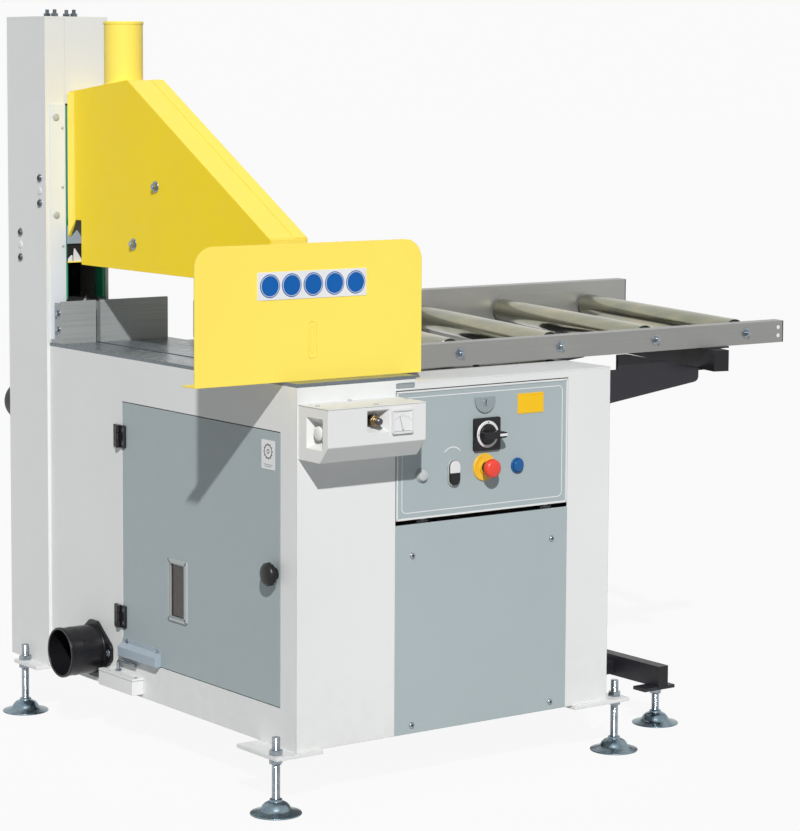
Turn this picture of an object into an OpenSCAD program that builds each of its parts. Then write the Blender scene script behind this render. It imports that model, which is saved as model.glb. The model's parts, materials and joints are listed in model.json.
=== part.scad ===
// Upcut saw with a lowering hood, a two-hand control box and a skewed roller table.
// Units are mm, +Z is up. The floor is Z = 0, the front of the cabinet faces -Y.
// Working coordinates start at the cabinet's front-left corner; place() moves the origin
// to the middle of the footprint.

/* [Cabinet] */
// outside width of the cabinet
cabinet_width = 848; // [836:2:860]
// outside depth of the cabinet
cabinet_depth = 1040; // [1040:2:1056]
// floor to underside of the cabinet
foot_height = 125; // [118:1:140]
// sheet thickness of the panels
sheet = 3; // [2:0.5:3]

/* [Saw] */
// blade diameter over the teeth
blade_d = 600; // [520:10:600]
// number of teeth
blade_teeth = 60; // [40:4:72]
// blade thickness
blade_t = 4; // [3:0.5:4.5]
// arm angle below level at rest
arm_rest = 13.25; // [13:0.05:13.5]
// width of the blade slot in table and fence
slot_w = 12; // [10:0.5:14]

/* [Hood] */
// outside width of the hood
hood_w = 96; // [92:1:98]
// diameter of the extraction spout on the hood
hood_spout_d = 94; // [84:1:94]
// diameter of the extraction spout on the left side
lower_spout_d = 112; // [100:1:116]

/* [Shield] */
// reach of the shield to the left of the cabinet
shield_left = 221; // [180:1:240]
// height of the shield above the table
shield_h = 287; // [260:1:310]
// radius of the shield's upper corners
shield_r = 45; // [20:1:60]

/* [Roller table] */
// roller diameter
roller_d = 58; // [50:1:58]
// distance from roller to roller along the rail
roller_pitch = 289; // [280:1:296]
// angle of the rollers to the square
roller_skew = 13.5; // [12.5:0.25:14]

/* [Hidden] */
$fn = 72;

W = cabinet_width;
D = cabinet_depth;
t = sheet;
zb = foot_height;          // underside of the cabinet
T = zb + 775;              // table top
ztop = T - 14;             // top of the right-hand cabinet top
step_x = 290;              // where the table plate gives way to the cabinet top
fence_y = D - 55;          // front face of fence and rear guide
run = 0.05;                // radial running clearance
gap = 0.3;                 // clearance between moving bodies

// saw
bx = 100;                  // blade plane
pivot = [235, zb + 565];   // arm pivot, Y and Z
arm_l = D - 560;
shaft_r = 15;
mot = [arm_l * 0.375, 45]; // motor axis along and above the arm
lift_d = arm_l - 155;      // pivot to lift rod
rest_d = arm_l - 75;       // pivot to the block under the lowered arm
slot_y0 = pivot[0] + arm_l - 320;  // front end of the blade slot
pul_r = 60;

// hood
hx0 = bx - hood_w / 2;
hx1 = bx + hood_w / 2;
hood_z = T + 186;
spout_y = D - 177;

// column
cx0 = -8;
cx1 = 160;
cy0 = D;
cy1 = D + 185;
cz0 = zb;
cz1 = T + 760;
rear_foot = [-24, D + 90];

// control panel
px0 = 252;
px1 = W - 122;
pz0 = T - 312;
pz1 = T - 31;
lz1 = T - 320;
hinge_z = T - 316;
hinge_y = 4;
hinge_x = [px0 + 58, px1 - 76];
pf = (px1 - px0) / 474;    // panel width against the width its fittings are laid out for
sw_x = px0 + 242.5 * pf;   // main switch
stop_x = px0 + 238 * pf;   // emergency stop
reset_x = px0 + 330 * pf;
key_x = px0 + 154 * pf;
lamp_x = px0 + 69 * pf;

// feed valve on the two-hand box
valve_x = 128.5;
valve_z = T - 75;

// door on the left side
dy0 = 62;
dy1 = D - 332;
dz0 = T - 692;
dz1 = T - 106.5;
pin_x = -6;
pin_y = dy1 + 8;
knob_y = 80;
knob_z = T - 407;

// roller table
rail_y = 150;
rail_d = 40;
rail_z = T - 8;
rail_h = 52;
rail_x0 = 306;
rail_x1 = 1526;
guide_x0 = 392;
guide_x1 = 1746;
guide_d = 45;
guide_h = 90;
ax_z = T + 20;
roll_x = 538;
sk = tan(roller_skew);
beam_y0 = 113;
beam_x = 1289;
beam_z0 = rail_z - 54;
beam_l = (D - 1 - beam_y0) / cos(roller_skew);
beam_x1 = beam_x + sk * (fence_y - beam_y0);  // beam under the rear guide
out_x = 1140;

place_x = -(guide_x1 + 3 + sk * guide_d - shield_left) / 2;
place_y = -(cy1 + 50 - 116) / 2;

module place() { translate([place_x, place_y, 0]) children(); }
module box(x0, x1, y0, y1, z0, z1) { translate([x0, y0, z0]) cube([x1 - x0, y1 - y0, z1 - z0]); }
module rx(x0, x1, y, z, r) { translate([x0, y, z]) rotate([0, 90, 0]) cylinder(h = x1 - x0, r = r); }
module ry(y0, y1, x, z, r) { translate([x, y0, z]) rotate([-90, 0, 0]) cylinder(h = y1 - y0, r = r); }
module rz(z0, z1, x, y, r) { translate([x, y, z0]) cylinder(h = z1 - z0, r = r); }
module rz_hex(z0, z1, x, y, r) { translate([x, y, z0]) cylinder(h = z1 - z0, r = r, $fn = 6); }
module ry_hex(y0, y1, x, z, r) {
    translate([x, y0, z]) rotate([-90, 0, 0]) cylinder(h = y1 - y0, r = r, $fn = 6);
}
module rx_hex(x0, x1, y, z, r) {
    translate([x0, y, z]) rotate([0, 90, 0]) cylinder(h = x1 - x0, r = r, $fn = 6);
}
// profile given as [Y, Z] points, extruded along X
module yz(x0, x1, pts) {
    translate([x0, 0, 0]) rotate([90, 0, 90]) linear_extrude(height = x1 - x0) polygon(pts);
}
// profile given as [X, Z] points, extruded along Y
module xz(y0, y1, pts) {
    translate([0, y1, 0]) rotate([90, 0, 0]) linear_extrude(height = y1 - y0) polygon(pts);
}
// profile given as [X, Y] points, extruded along Z
module xy(z0, z1, pts) { translate([0, 0, z0]) linear_extrude(height = z1 - z0) polygon(pts); }
// a bar along the roller direction, from depth y0 to y1, starting at x on the rail's front face
module skewed(x, z) {
    translate([x, rail_y, z]) rotate([0, 0, -roller_skew]) rotate([-90, 0, 0]) children();
}
// arm coordinates: Y along the arm, Z above it
module on_arm() { translate([0, pivot[0], pivot[1]]) rotate([-arm_rest, 0, 0]) children(); }

// Cabinet

module base() color("gainsboro") place() {
    box(t, W - t, t, D - t, zb, zb + 6);
    foot_plate(-42, 15, -58, 60, -10, 140);
    foot_plate(W + 42, 20, W - 100, W + 60, -10, 52);
    foot_plate(W + 42, D - 20, W - 100, W + 60, D - 52, D + 8);
    foot_plate(rear_foot[0], rear_foot[1], -42, 45, D + 2, D + 112);
    box(2, 45, D - 60, D + 3, zb - 8, zb);
}
module foot_plate(x, y, x0, x1, y0, y1) difference() {
    box(x0, x1, y0, y1, zb - 8, zb);
    rz(zb - 9, zb + 1, x, y, 9 + run);
}
module side_left() color("gainsboro") place() {
    difference() {
        box(0, t, t, D - t, zb, T - 8);
        box(-1, t + 1, dy0, dy1, dz0, dz1);
        rx(-1, t + 1, D - 207, zb + 78, lower_spout_d / 2 - 4);
    }
    box(t, t + 2, dy0 - 8, dy0 + 6, dz0 + 40, zb + 320);
    box(t, t + 2, dy0 - 8, dy0 + 6, zb + 420, dz1 - 40);
}
module side_right() color("gainsboro") place() box(W - t, W, t, D - t, zb, ztop - 3);
module rear_wall() color("gainsboro") place()
    xz(D - t, D, [[0, zb], [W, zb], [W, ztop - 3], [step_x, ztop - 3], [step_x, T - 8], [0, T - 8]]);
module front_frame() color("white") place() {
    xz(0, t, [[0, zb], [px0, zb], [px0, pz1], [px1, pz1], [px1, zb], [W, zb], [W, ztop - 3],
        [step_x, ztop - 3], [step_x, T - 8], [0, T - 8]]);
}
module lower_panel() color("lightslategray") place() box(px0, px1, 0, t, zb, lz1);
module cabinet_top() color("gainsboro") place() {
    box(step_x, W, 0, D, ztop - 3, ztop);
    box(step_x, 304, 0, D, ztop, T - 8);
}

// Table

module table_plate() color("silver") place() difference() {
    box(0, 304, 0, D, T - 8, T);
    box(bx - slot_w / 2, bx + slot_w / 2, slot_y0, fence_y + 30, T - 9, T + 1);
}
module table_fence() color("darkgray") place() {
    fence_bar(2, bx - slot_w / 2);
    fence_bar(bx + slot_w / 2, 292);
}
module fence_bar(x0, x1) {
    box(x0, x1, fence_y, fence_y + 8, T, T + 100);
    box(x0, x1, fence_y + 8, fence_y + 50, T, T + 8);
    box(x0 + 6, x0 + 14, fence_y + 8, fence_y + 46, T + 8, T + 94);
    box(x1 - 14, x1 - 6, fence_y + 8, fence_y + 46, T + 8, T + 94);
}
module shield() color("gold") place() {
    x0 = -shield_left;
    x1 = 351;
    z1 = T + shield_h;
    box(x0, x1, 44, 47, T, z1 - shield_r);
    box(x0 + shield_r, x1 - shield_r, 44, 47, z1 - shield_r, z1);
    quarter(x0 + shield_r, z1 - shield_r, x0, z1 - shield_r);
    quarter(x1 - shield_r, z1 - shield_r, x1 - shield_r, z1 - shield_r);
    box(x0, x1, 47, 92, T, T + 3);
}
module quarter(x, z, bx0, bz0) intersection() {
    ry(44, 47, x, z, shield_r);
    box(bx0, bx0 + shield_r, 43, 48, bz0, bz0 + shield_r);
}
module shield_strip() color("white") place() {
    box(-70, 205, 42.8, 44, T + 172, T + 230);
    for (i = [0 : 4]) ry(42, 42.8, -39 + 54 * i, T + 201, 25);
}

// Column

module column_post() color("whitesmoke") place() difference() {
    box(cx0, 45, cy0, cy1, cz0, cz1);
    box(cx0 + 5, 40, cy0 + 5, cy1 - 5, cz0 - 1, cz1 + 1);
}
module column_shell() color("whitesmoke") place() {
    box(45, cx1, cy1 - 6, cy1, cz0, cz1);
    box(153, cx1, cy0, cy1 - 6, cz0, cz1);
    box(45, 153, cy0, cy0 + 3, cz0, T + 90);
    box(45, 153, cy0, cy0 + 3, T + 562, cz1);
    box(cx0, cx1, cy0, cy1, cz1, cz1 + 6);
}
module guide_strips() color("seagreen") place() {
    box(45, 52, cy0 + 4, cy0 + 38, T + 100, T + 557);
    box(146, 153, cy0 + 4, cy0 + 38, T + 100, T + 557);
}
module hood_cylinder() color("dimgray") place() {
    difference() {
        rz(T + 400, cz1, 99, cy0 + 90, 25);
        rz(T + 399, cz1 - 8, 99, cy0 + 90, 8 + run);
    }
}
module air_unit() color("dimgray") place() {
    ry(cy1, cy1 + 50, 47, T - 163, 47);
    rz(T - 235, T - 190, 47, cy1 + 25, 14);
}

// Small static fittings

module fasteners() color("silver") place() {
    for (z = [387, 328]) rx_hex(cx0 - 5, cx0, D + 29, T + z, 8);
    for (z = [255, 195]) rx_hex(cx0 - 5, cx0, D + 125, T + z, 8);
    rx(cx0 - 2, cx0, D + 29, T + 357, 9);
    rx(cx0 - 2, cx0, D + 125, T + 225, 9);
    for (z = [531, 301]) ry(cy0 - 4, cy0, 19, T + z, 8);
    for (z = [505, 366, 227]) ry(cy0 - 2, cy0, 36, T + z, 4.5);
    for (x = [60, 112], y = [74, 110]) {
        rz_hex(cz1 + 6, cz1 + 15, x, cy0 + y, 9);
        rz(cz1 + 15, cz1 + 24, x, cy0 + y, 5);
    }
    for (x = [px0 + 46, px1 - 44], z = [T - 388, zb + 18]) ry(-2, 0, x, z, 7);
    for (p = [[15, -52], [131, -96], [125, -10], [240, -54]]) rz(T - 42, T - 38, p[0], p[1], 4.5);
    for (x = [58, 72]) rz_hex(T + 8, T + 15, x, fence_y + 29, 6);
    for (x = [340, W - 248, W - 36]) rz(ztop, rail_z, x, rail_y + 20, 9);
    for (x = [guide_x0 + 28, W - 248, W - 36]) rz(ztop, rail_z, x, fence_y + 22, 9);
    for (x = [60, 250]) rz_hex(T + 3, T + 9, x, 72, 8);
    for (i = [0, 1]) ry(rail_y - 1.5, rail_y, rail_x1 - 14, rail_z + 16 + 20 * i, 5);
}

// Extraction and control box on the cabinet

module lower_spout() color("black") place() difference() {
    y = D - 207;
    z = zb + 78;
    union() {
        rx(-95, 0, y, z, lower_spout_d / 2);
        rx(-95, -88, y, z, lower_spout_d / 2 + 2);
        yz(-8, 0, [[y - 82, z - 12], [y - 82, z + 12], [y - 14, z + 66], [y + 14, z + 66], [y + 82, z + 12],
            [y + 82, z - 12], [y + 14, z - 66], [y - 14, z - 66]]);
        rx_hex(-13, -8, y - 69, z, 7);
        rx_hex(-13, -8, y + 69, z, 7);
    }
    rx(-96, 1, y, z, lower_spout_d / 2 - 4);
}
module hand_box() color("white") place() {
    z0 = T - 157;
    z1 = T - 42;
    difference() {
        yz(2, 252, [[0, z0], [0, z1], [-108, z1], [-108, z0 + 35], [-76, z0]]);
        yz(5, 249, [[1, z0 + 3], [1, z1 - 3], [-105, z1 - 3], [-105, z0 + 36], [-75, z0 + 3]]);
        box(1, 6, -88, -30, T - 129, T - 65);
        box(248, 253, -88, -30, T - 129, T - 65);
        box(valve_x - 28, valve_x + 28, -109, -104, valve_z - 23, valve_z + 23);
    }
    hand_cup(5, 1);
    hand_cup(249, -1);
    difference() {
        box(valve_x - 31, valve_x + 31, -105, -80, valve_z - 26, valve_z + 26);
        box(valve_x - 28, valve_x + 28, -106, -84, valve_z - 23, valve_z + 23);
        ry(-90, -79, valve_x, valve_z, 5 + run);
    }
}
module hand_cup(x, s) translate([x, 0, 0]) mirror([s < 0 ? 1 : 0, 0, 0]) difference() {
    box(0, 26, -91, -27, T - 132, T - 62);
    box(-1, 22, -88, -30, T - 129, T - 65);
    rx(21, 27, -59, T - 97, 6 + run);
}
module meter() color("white") place() {
    difference() {
        box(162, 215, -113, -108, T - 104, T - 53);
        box(165, 212, -114, -111, T - 101, T - 56);
    }
    box(187.5, 189, -112.2, -111, T - 95, T - 68);
}
module interlock() color("lightsteelblue") place() {
    box(-30, 0, dy1 - 90, dy1 + 60, zb + 8, zb + 46);
    rz(zb + 45, zb + 72, -8, dy1 + 8, 4);
    ry(dy1 - 68, dy1 + 12, -8, zb + 72, 4);
}

// Feet, roller table and outrigger

module feet() color("khaki") place() {
    foot(-42, 15, zb - 8, 8);
    foot(W + 42, 20, zb - 8, 8);
    foot(W + 42, D - 20, zb - 8, 8);
    foot(rear_foot[0], rear_foot[1], zb - 8, 8);
    foot(out_x, 160, zb - 41, 8, false);
    foot(out_x, 860, zb - 41, 8, false);
}
// z is the underside of the carrying plate, h its thickness
module foot(x, y, z, h, upper_nut = true) {
    rz(0, 7, x, y, 55);
    rz(7, 13, x, y, 44);
    rz(13, 19, x, y, 30);
    rz_hex(19, 33, x, y, 15);
    rz(33, z + h + 38, x, y, 9);
    rz_ring(z - 11, z, x, y);
    if (upper_nut) rz_ring(z + h, z + h + 11, x, y);
}
module rz_ring(z0, z1, x, y) difference() {
    rz_hex(z0, z1, x, y, 15);
    rz(z0 - 1, z1 + 1, x, y, 8.9);
}
module front_rail() color("silver") place() difference() {
    xy(rail_z, rail_z + rail_h, [[rail_x0, rail_y], [rail_x1, rail_y],
        [rail_x1 + sk * rail_d, rail_y + rail_d], [rail_x0, rail_y + rail_d]]);
    xy(rail_z + 4, rail_z + rail_h - 4, [[rail_x0 - 1, rail_y + 4], [rail_x1 + 30, rail_y + 4],
        [rail_x1 + 30, rail_y + rail_d - 4], [rail_x0 - 1, rail_y + rail_d - 4]]);
    for (i = [0 : 3]) skewed(roll_x + i * roller_pitch, ax_z)
        translate([0, 0, -20]) cylinder(h = 90, r = 8 + run);
}
module rear_guide() color("silver") place() difference() {
    y1 = fence_y + guide_d;
    union() {
        xy(rail_z, rail_z + guide_h, [[guide_x0, fence_y], [guide_x1, fence_y],
            [guide_x1 + sk * guide_d, y1], [guide_x0, y1]]);
        // beyond the cabinet the front wall reaches down past the roller axles, with a notch for the beam
        box(W + 12, beam_x1 - 40, fence_y, fence_y + 4, rail_z - 50, rail_z);
        box(beam_x1 + 58, guide_x1, fence_y, fence_y + 4, rail_z - 50, rail_z);
    }
    xy(rail_z + 4, rail_z + guide_h - 4, [[guide_x0 - 1, fence_y + 4], [guide_x1 + 30, fence_y + 4],
        [guide_x1 + 30, y1 - 4], [guide_x0 - 1, y1 - 4]]);
    for (i = [0 : 3]) skewed(roll_x + i * roller_pitch, ax_z)
        translate([0, 0, (fence_y - rail_y) / cos(roller_skew) - 40]) cylinder(h = 110, r = 8 + run);
}
module end_caps() color("black") place() {
    xy(rail_z, rail_z + rail_h, [[rail_x1, rail_y], [rail_x1 + 3, rail_y],
        [rail_x1 + 3 + sk * rail_d, rail_y + rail_d], [rail_x1 + sk * rail_d, rail_y + rail_d]]);
    xy(rail_z, rail_z + guide_h, [[guide_x1, fence_y], [guide_x1 + 3, fence_y],
        [guide_x1 + 3 + sk * guide_d, fence_y + guide_d], [guide_x1 + sk * guide_d, fence_y + guide_d]]);
    translate([beam_x, beam_y0, 0]) rotate([0, 0, -roller_skew]) box(-20, 20, -4, 0, beam_z0, beam_z0 + 50);
    box(out_x - 15, out_x + 15, 133, 137, zb - 33, zb + 17);
}
module axles() color("silver") place() for (i = [0 : 3])
    skewed(roll_x + i * roller_pitch, ax_z) {
        l0 = rail_d / cos(roller_skew);
        l1 = (fence_y - rail_y) / cos(roller_skew);
        translate([0, 0, -3]) cylinder(h = l1 + 12, r = 8);
        translate([0, 0, -10]) cylinder(h = 6, r = 11);
        translate([0, 0, -16]) cylinder(h = 13, r = 6);
        translate([0, 0, l0 + 3]) cylinder(h = 4, r = 13);
        translate([0, 0, l1 - 7]) cylinder(h = 4, r = 13);
    }
module beam_supports() color("darkslategray") place() {
    z = beam_z0;
    translate([beam_x, beam_y0, 0]) rotate([0, 0, -roller_skew]) difference() {
        box(-20, 20, 0, beam_l, z, z + 50);
        box(-16, 16, -1, beam_l + 1, z + 4, z + 46);
    }
    box(1262, 1345, rail_y - 6, rail_y + rail_d + 6, z + 50, z + 54);
    box(beam_x1 - 36, beam_x1 + 54, fence_y - 6, fence_y + guide_d + 6, z + 50, z + 54);
    xz(186, 194, [[W, T - 148], [W, T - 50], [1032, T - 50], [1032, T - 15], [1062, T - 15], [1294, z + 2],
        [1312, z + 2], [1312, z - 4], [1286, z - 4], [1286, z - 20], [1283, z - 27], [1275, z - 31]]);
    xz(760, 768, [[W, T - 148], [W, T - 50], [1172, T - 50], [1172, T - 15], [1202, T - 15], [1431, z + 2],
        [1450, z + 2], [1450, z - 4], [1423, z - 4], [1423, z - 20], [1420, z - 27], [1412, z - 31]]);
}
module outrigger() color("darkslategray") place() {
    difference() {
        box(out_x - 15, out_x + 15, 137, 900, zb - 33, zb + 17);
        box(out_x - 12, out_x + 12, 136, 901, zb - 30, zb + 14);
        rz(zb - 40, zb - 20, out_x, 160, 9 + run);
        rz(zb - 40, zb - 20, out_x, 860, 9 + run);
    }
    for (y = [160, 860]) difference() {
        box(out_x - 52, out_x + 42, y - 21, y + 21, zb - 41, zb - 33);
        rz(zb - 42, zb - 32, out_x, y, 9 + run);
    }
    for (y = [300, 740]) box(W - 228, out_x - 15, y, y + 40, zb - 30, zb);
}

// Inside the cabinet

module enclosure() color("lightgray") place() {
    difference() {
        box(px0 - 6, px1 + 6, t, 155, pz0 + 4, pz1 + 6);
        box(px0 - 4, px1 + 4, t - 1, 153, pz0 + 6, pz1 + 4);
        // room for the panel's hinge tabs
        for (x = hinge_x) box(x + 6, x + 24, t - 1, t + 8, pz0 + 3, pz0 + 7);
    }
    for (i = [0 : 4])
        box(px0 + (48 + 58 * i) * pf, px0 + (94 + 58 * i) * pf, 90, 153, pz0 + 150, pz0 + 230);
    box(px0 + 48 * pf, px0 + 388 * pf, 120, 153, pz0 + 40, pz0 + 70);
}
module pedestal() color("slategray") place() {
    box(110, 280, 170, 310, zb + 6, zb + 18);
    for (x = [125, 245]) difference() {
        yz(x, x + 20, [[180, zb + 18], [300, zb + 18], [270, pivot[1] + 40], [200, pivot[1] + 40]]);
        rx(x - 1, x + 21, pivot[0], pivot[1], 17.5);
    }
    rx(118, 272, pivot[0], pivot[1], 17.5);
    box(165, 225, pivot[0] + rest_d - 50, pivot[0] + rest_d + 10, zb + 6, zb + 14);
    box(180, 210, pivot[0] + rest_d - 40, pivot[0] + rest_d, zb + 14,
        pivot[1] - rest_d * tan(arm_rest) - 35 / cos(arm_rest) - gap);
}
module lift_cylinder() color("gray") place() {
    y = pivot[0] + lift_d;
    box(150, 240, y - 45, y + 28, zb + 6, zb + 14);
    difference() {
        rz(zb + 14, zb + 345, 195, y, 28);
        rz(zb + 24, zb + 346, 195, y, 12 + run);
    }
}
module hinges() color("black") place() {
    for (z = [T - 187, T - 602]) {
        box(-3, 0, pin_y + 6, pin_y + 24, z - 26, z + 26);
        rz(z - 26, z + 26, pin_x, pin_y, 3.5);
        hinge_eye(z - 26, z - 9);
        hinge_eye(z + 9, z + 26);
    }
    for (x = hinge_x) {
        rx(x, x + 30, hinge_y, hinge_z, 2);
        box(x, x + 8, t, t + 6, lz1 - 30, lz1);
        panel_eye(x, x + 8);
    }
}
module hinge_eye(z0, z1) difference() {
    union() {
        rz(z0, z1, pin_x, pin_y, 6);
        box(pin_x, 0, pin_y + 3, pin_y + 6, z0, z1);
        box(-3, 0, pin_y + 3, pin_y + 6, z0, z1);
    }
    rz(z0 - 1, z1 + 1, pin_x, pin_y, 3.5);
}
module panel_eye(x0, x1) difference() {
    union() {
        rx(x0, x1, hinge_y, hinge_z, 3.4);
        box(x0, x1, t, t + 6, lz1, hinge_z + 2);
    }
    rx(x0 - 1, x1 + 1, hinge_y, hinge_z, 2);
}

// Hood, sliding down on the column

module hood_sides() color("gold") place() {
    hood_plate(hx0);
    hood_plate(hx1 - 3);
}
module hood_plate(x) yz(x, x + 3, [[D - 7, T + 249], [D - 7, T + 590], [D - 272, T + 619], [180, T + 286],
    [180, hood_z], [D - 61, hood_z], [D - 61, T + 290], [D - 34, T + 290]]);
module hood_cover() color("gold") place() difference() {
    union() {
        yz(hx0 + 3, hx1 - 3, [[D - 7, T + 305], [D - 7, T + 590], [D - 272, T + 619], [180, T + 286],
            [180, hood_z], [183, hood_z], [183, T + 284.3], [D - 271.5, T + 615.9], [D - 10, T + 587.3],
            [D - 10, T + 305]]);
        rz(T + 602, T + 753, bx, spout_y, hood_spout_d / 2 - 2);
    }
    rz(T + 560, T + 754, bx, spout_y, hood_spout_d / 2 - 4.5);
}
module carriage() color("darkgray") place() {
    box(62, 138, D - 7, D + 6, T + 305, T + 560);
    box(52.5, 145.5, D + 6, D + 36, T + 290, T + 560);
    box(46.5, 138, D - 7, D - 1, T + 232, T + 275);
    box(62, 138, D - 7, D - 1, T + 275, T + 305);
    box(80, 118, D + 36, D + 115, T + 290, T + 302);
    rz(T + 302, T + 690, 99, D + 90, 8);
}

// Saw unit, swinging up on the arm

module arm() color("steelblue") place() on_arm() {
    difference() {
        union() {
            rx(146, 244, 0, 0, 40);
            box(165, 225, 20, arm_l - 30, -35, 35);
            rx(120, 262, arm_l, 0, 50);
            box(225, 610, mot[0] - 75, mot[0] + 75, -50, -36);
            box(205, 225, mot[0] - 75, mot[0] + 75, -50, -30);
        }
        rx(140, 250, 0, 0, 17.5 + run);
        rx(119, 263, arm_l, 0, shaft_r + run);
    }
}
module motor() color("royalblue") place() on_arm() {
    difference() {
        union() {
            rx(345, 590, mot[0], mot[1], 76);
            rx(590, 620, mot[0], mot[1], 66);
            box(370, 560, mot[0] - 60, mot[0] + 60, -36, 0);
            box(400, 500, mot[0] - 40, mot[0] + 40, mot[1] + 60, mot[1] + 92);
        }
        rx(344, 380, mot[0], mot[1], 12 + run);
    }
}
module belt_loop(r, x0, x1) {
    l = sqrt(pow(arm_l - mot[0], 2) + mot[1] * mot[1]);
    a = atan2(-mot[1], arm_l - mot[0]);
    translate([0, mot[0], mot[1]]) rotate([a, 0, 0]) {
        rx(x0, x1, 0, 0, r);
        rx(x0, x1, l, 0, r);
        box(x0, x1, 0, l, -r, r);
    }
}
module belts() color("black") place() on_arm() difference() {
    belt_loop(pul_r + 6, 288, 312);
    belt_loop(pul_r + gap, 287, 313);
}
module blade() color("lightgray") place() on_arm() translate([bx - blade_t / 2, arm_l, 0])
    rotate([90, 0, 90])
    linear_extrude(height = blade_t) difference() {
        polygon([for (i = [0 : blade_teeth - 1], k = [0 : 2])
            let (a = (i + [0, 0.12, 0.55][k]) * 360 / blade_teeth,
                r = blade_d / 2 - [0, 14, 11][k]) [r * cos(a), r * sin(a)]]);
        circle(r = shaft_r + run);
    }
module spindle() color("silver") place() on_arm() {
    rx(66, 324, arm_l, 0, shaft_r);
    spindle_ring(bx + blade_t / 2, bx + blade_t / 2 + 12, 60);
    spindle_ring(bx - blade_t / 2 - 12, bx - blade_t / 2, 60);
    difference() {
        rx_hex(bx - blade_t / 2 - 28, bx - blade_t / 2 - 12, arm_l, 0, 25);
        rx(bx - 40, bx, arm_l, 0, shaft_r - 0.1);
    }
    spindle_ring(280, 320, pul_r);
}
module spindle_ring(x0, x1, r) difference() {
    rx(x0, x1, arm_l, 0, r);
    rx(x0 - 1, x1 + 1, arm_l, 0, shaft_r - 0.1);
}
module motor_pulley() color("silver") place() on_arm() {
    rx(280, 320, mot[0], mot[1], pul_r);
    rx(320, 375, mot[0], mot[1], 12);
}
module lift_rod() color("silver") place() {
    y = pivot[0] + lift_d;
    z = pivot[1] - lift_d * tan(arm_rest) - 50 / cos(arm_rest) - gap;
    rx(180, 210, y, z, 15);
    rz(zb + 60, z, 195, y, 12);
}

// Door on the left side

module access_door() color("slategray") place() difference() {
    box(0, t - 0.5, dy0 + 2, dy1 - 2, dz0 + 2, dz1 - 2);
    box(-1, t, dy1 - 276, dy1 - 207, T - 570, T - 441);
    rx(-1, t, knob_y, knob_z, 8 + run);
}
module door_trim() color("black") place() {
    difference() {
        box(-4, 0, dy1 - 281, dy1 - 202, T - 575, T - 436);
        box(-5, 1, dy1 - 271, dy1 - 212, T - 565, T - 446);
    }
    // folded cover over the interlock's key, in the door's lower corner
    yz(-16, 0, [[dy1 - 167, dz0 + 2], [dy1 - 167, dz0 + 38], [dy1 - 163, dz0 + 42], [dy1 - 2, dz0 + 42],
        [dy1 - 2, dz0 + 2]]);
    for (z = [T - 187, T - 602]) {
        box(-3, 0, pin_y - 26, pin_y - 8, z - 26, z + 26);
        difference() {
            union() {
                rz(z - 8.7, z + 8.7, pin_x, pin_y, 6);
                box(-6, -3, pin_y - 10, pin_y, z - 8.7, z + 8.7);
            }
            rz(z - 10, z + 10, pin_x, pin_y, 3.5 + run);
        }
        box(-6, -3, pin_y - 26, pin_y - 10, z - 8.7, z + 8.7);
    }
}
module window_glass() color("gray") place() box(0, 2, dy1 - 276, dy1 - 207, T - 570, T - 441);
module door_knob() color("black") place() {
    rx(-10, 9, knob_y, knob_z, 8);
    rx(-9, -gap, knob_y, knob_z, 13);
    rx(-27, -9, knob_y, knob_z, 24);
    rx(-30, -27, knob_y, knob_z, 20);
    box(t + 3.5, t + 7, knob_y - 10, knob_y + 10, knob_z - 46, knob_z);
}

// Control panel, hinged along its lower edge

module panel_door() color("lightslategray") place() {
    difference() {
        box(px0 + 2, px1 - 2, 0, 2.5, pz0 + 2, pz1 - 2);
        ry(-1, 4, sw_x, T - 140, 10 + run);
        ry(-1, 4, stop_x, T - 212, 12 + run);
        ry(-1, 4, reset_x, T - 216, 11 + run);
        ry(-1, 4, key_x, T - 206, 7 + run);
        ry(-1, 4, key_x, T - 229, 7 + run);
    }
    for (x = hinge_x + [9, 9]) difference() {
        union() {
            rx(x, x + 12, hinge_y, hinge_z, 3.4);
            box(x, x + 12, 2.5, 6, hinge_z, pz0 + 20);
        }
        rx(x - 1, x + 13, hinge_y, hinge_z, 2 + run);
    }
}
module panel_fittings() color("dimgray") place() {
    // switch plate, emergency-stop plate, button rims, lamp, lock and labels
    ring_box(sw_x - 36, sw_x + 36, -6, 0, T - 176, T - 104, sw_x, T - 140, 10 + run);
    ring(stop_x, T - 212, 30, 12 + run, -4);
    ring(reset_x, T - 216, 15, 11 + run, -4);
    ring_box(key_x - 14, key_x + 14, -3, 0, T - 218, T - 190, key_x, T - 206, 7 + run);
    ring_box(key_x - 14, key_x + 14, -3, 0, T - 245, T - 218, key_x, T - 229, 7 + run);
    ry(-10, 0, lamp_x, T - 216, 12);
    ry(-4, 0, lamp_x, T - 216, 15);
    intersection() {
        ry(-5, 0, stop_x, T - 66, 27);
        box(stop_x - 30, stop_x + 30, -6, 1, T - 100, T - 59);
    }
    box(reset_x, reset_x + 73 * pf, -1, 0, T - 103, T - 58);
    // bodies behind the panel
    ring_box(sw_x - 24.5, sw_x + 24.5, 2.5, 60, T - 164, T - 116, sw_x, T - 140, 10 + run);
    ring_y(stop_x, T - 212, 20, 12 + run, 2.5, 60);
    ring_y(reset_x, T - 216, 18, 11 + run, 2.5, 55);
    ring_box(key_x - 14, key_x + 14, 2.5, 50, T - 242, T - 194, key_x, T - 206, 7 + run, T - 229);
    ry(2.5, 45, lamp_x, T - 216, 12);
}
module ring(x, z, r, ri, y) difference() {
    ry(y, 0, x, z, r);
    ry(y - 1, 1, x, z, ri);
}
module ring_y(x, z, r, ri, y0, y1) difference() {
    ry(y0, y1, x, z, r);
    ry(y0 - 1, y1 - 4, x, z, ri);
}
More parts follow.
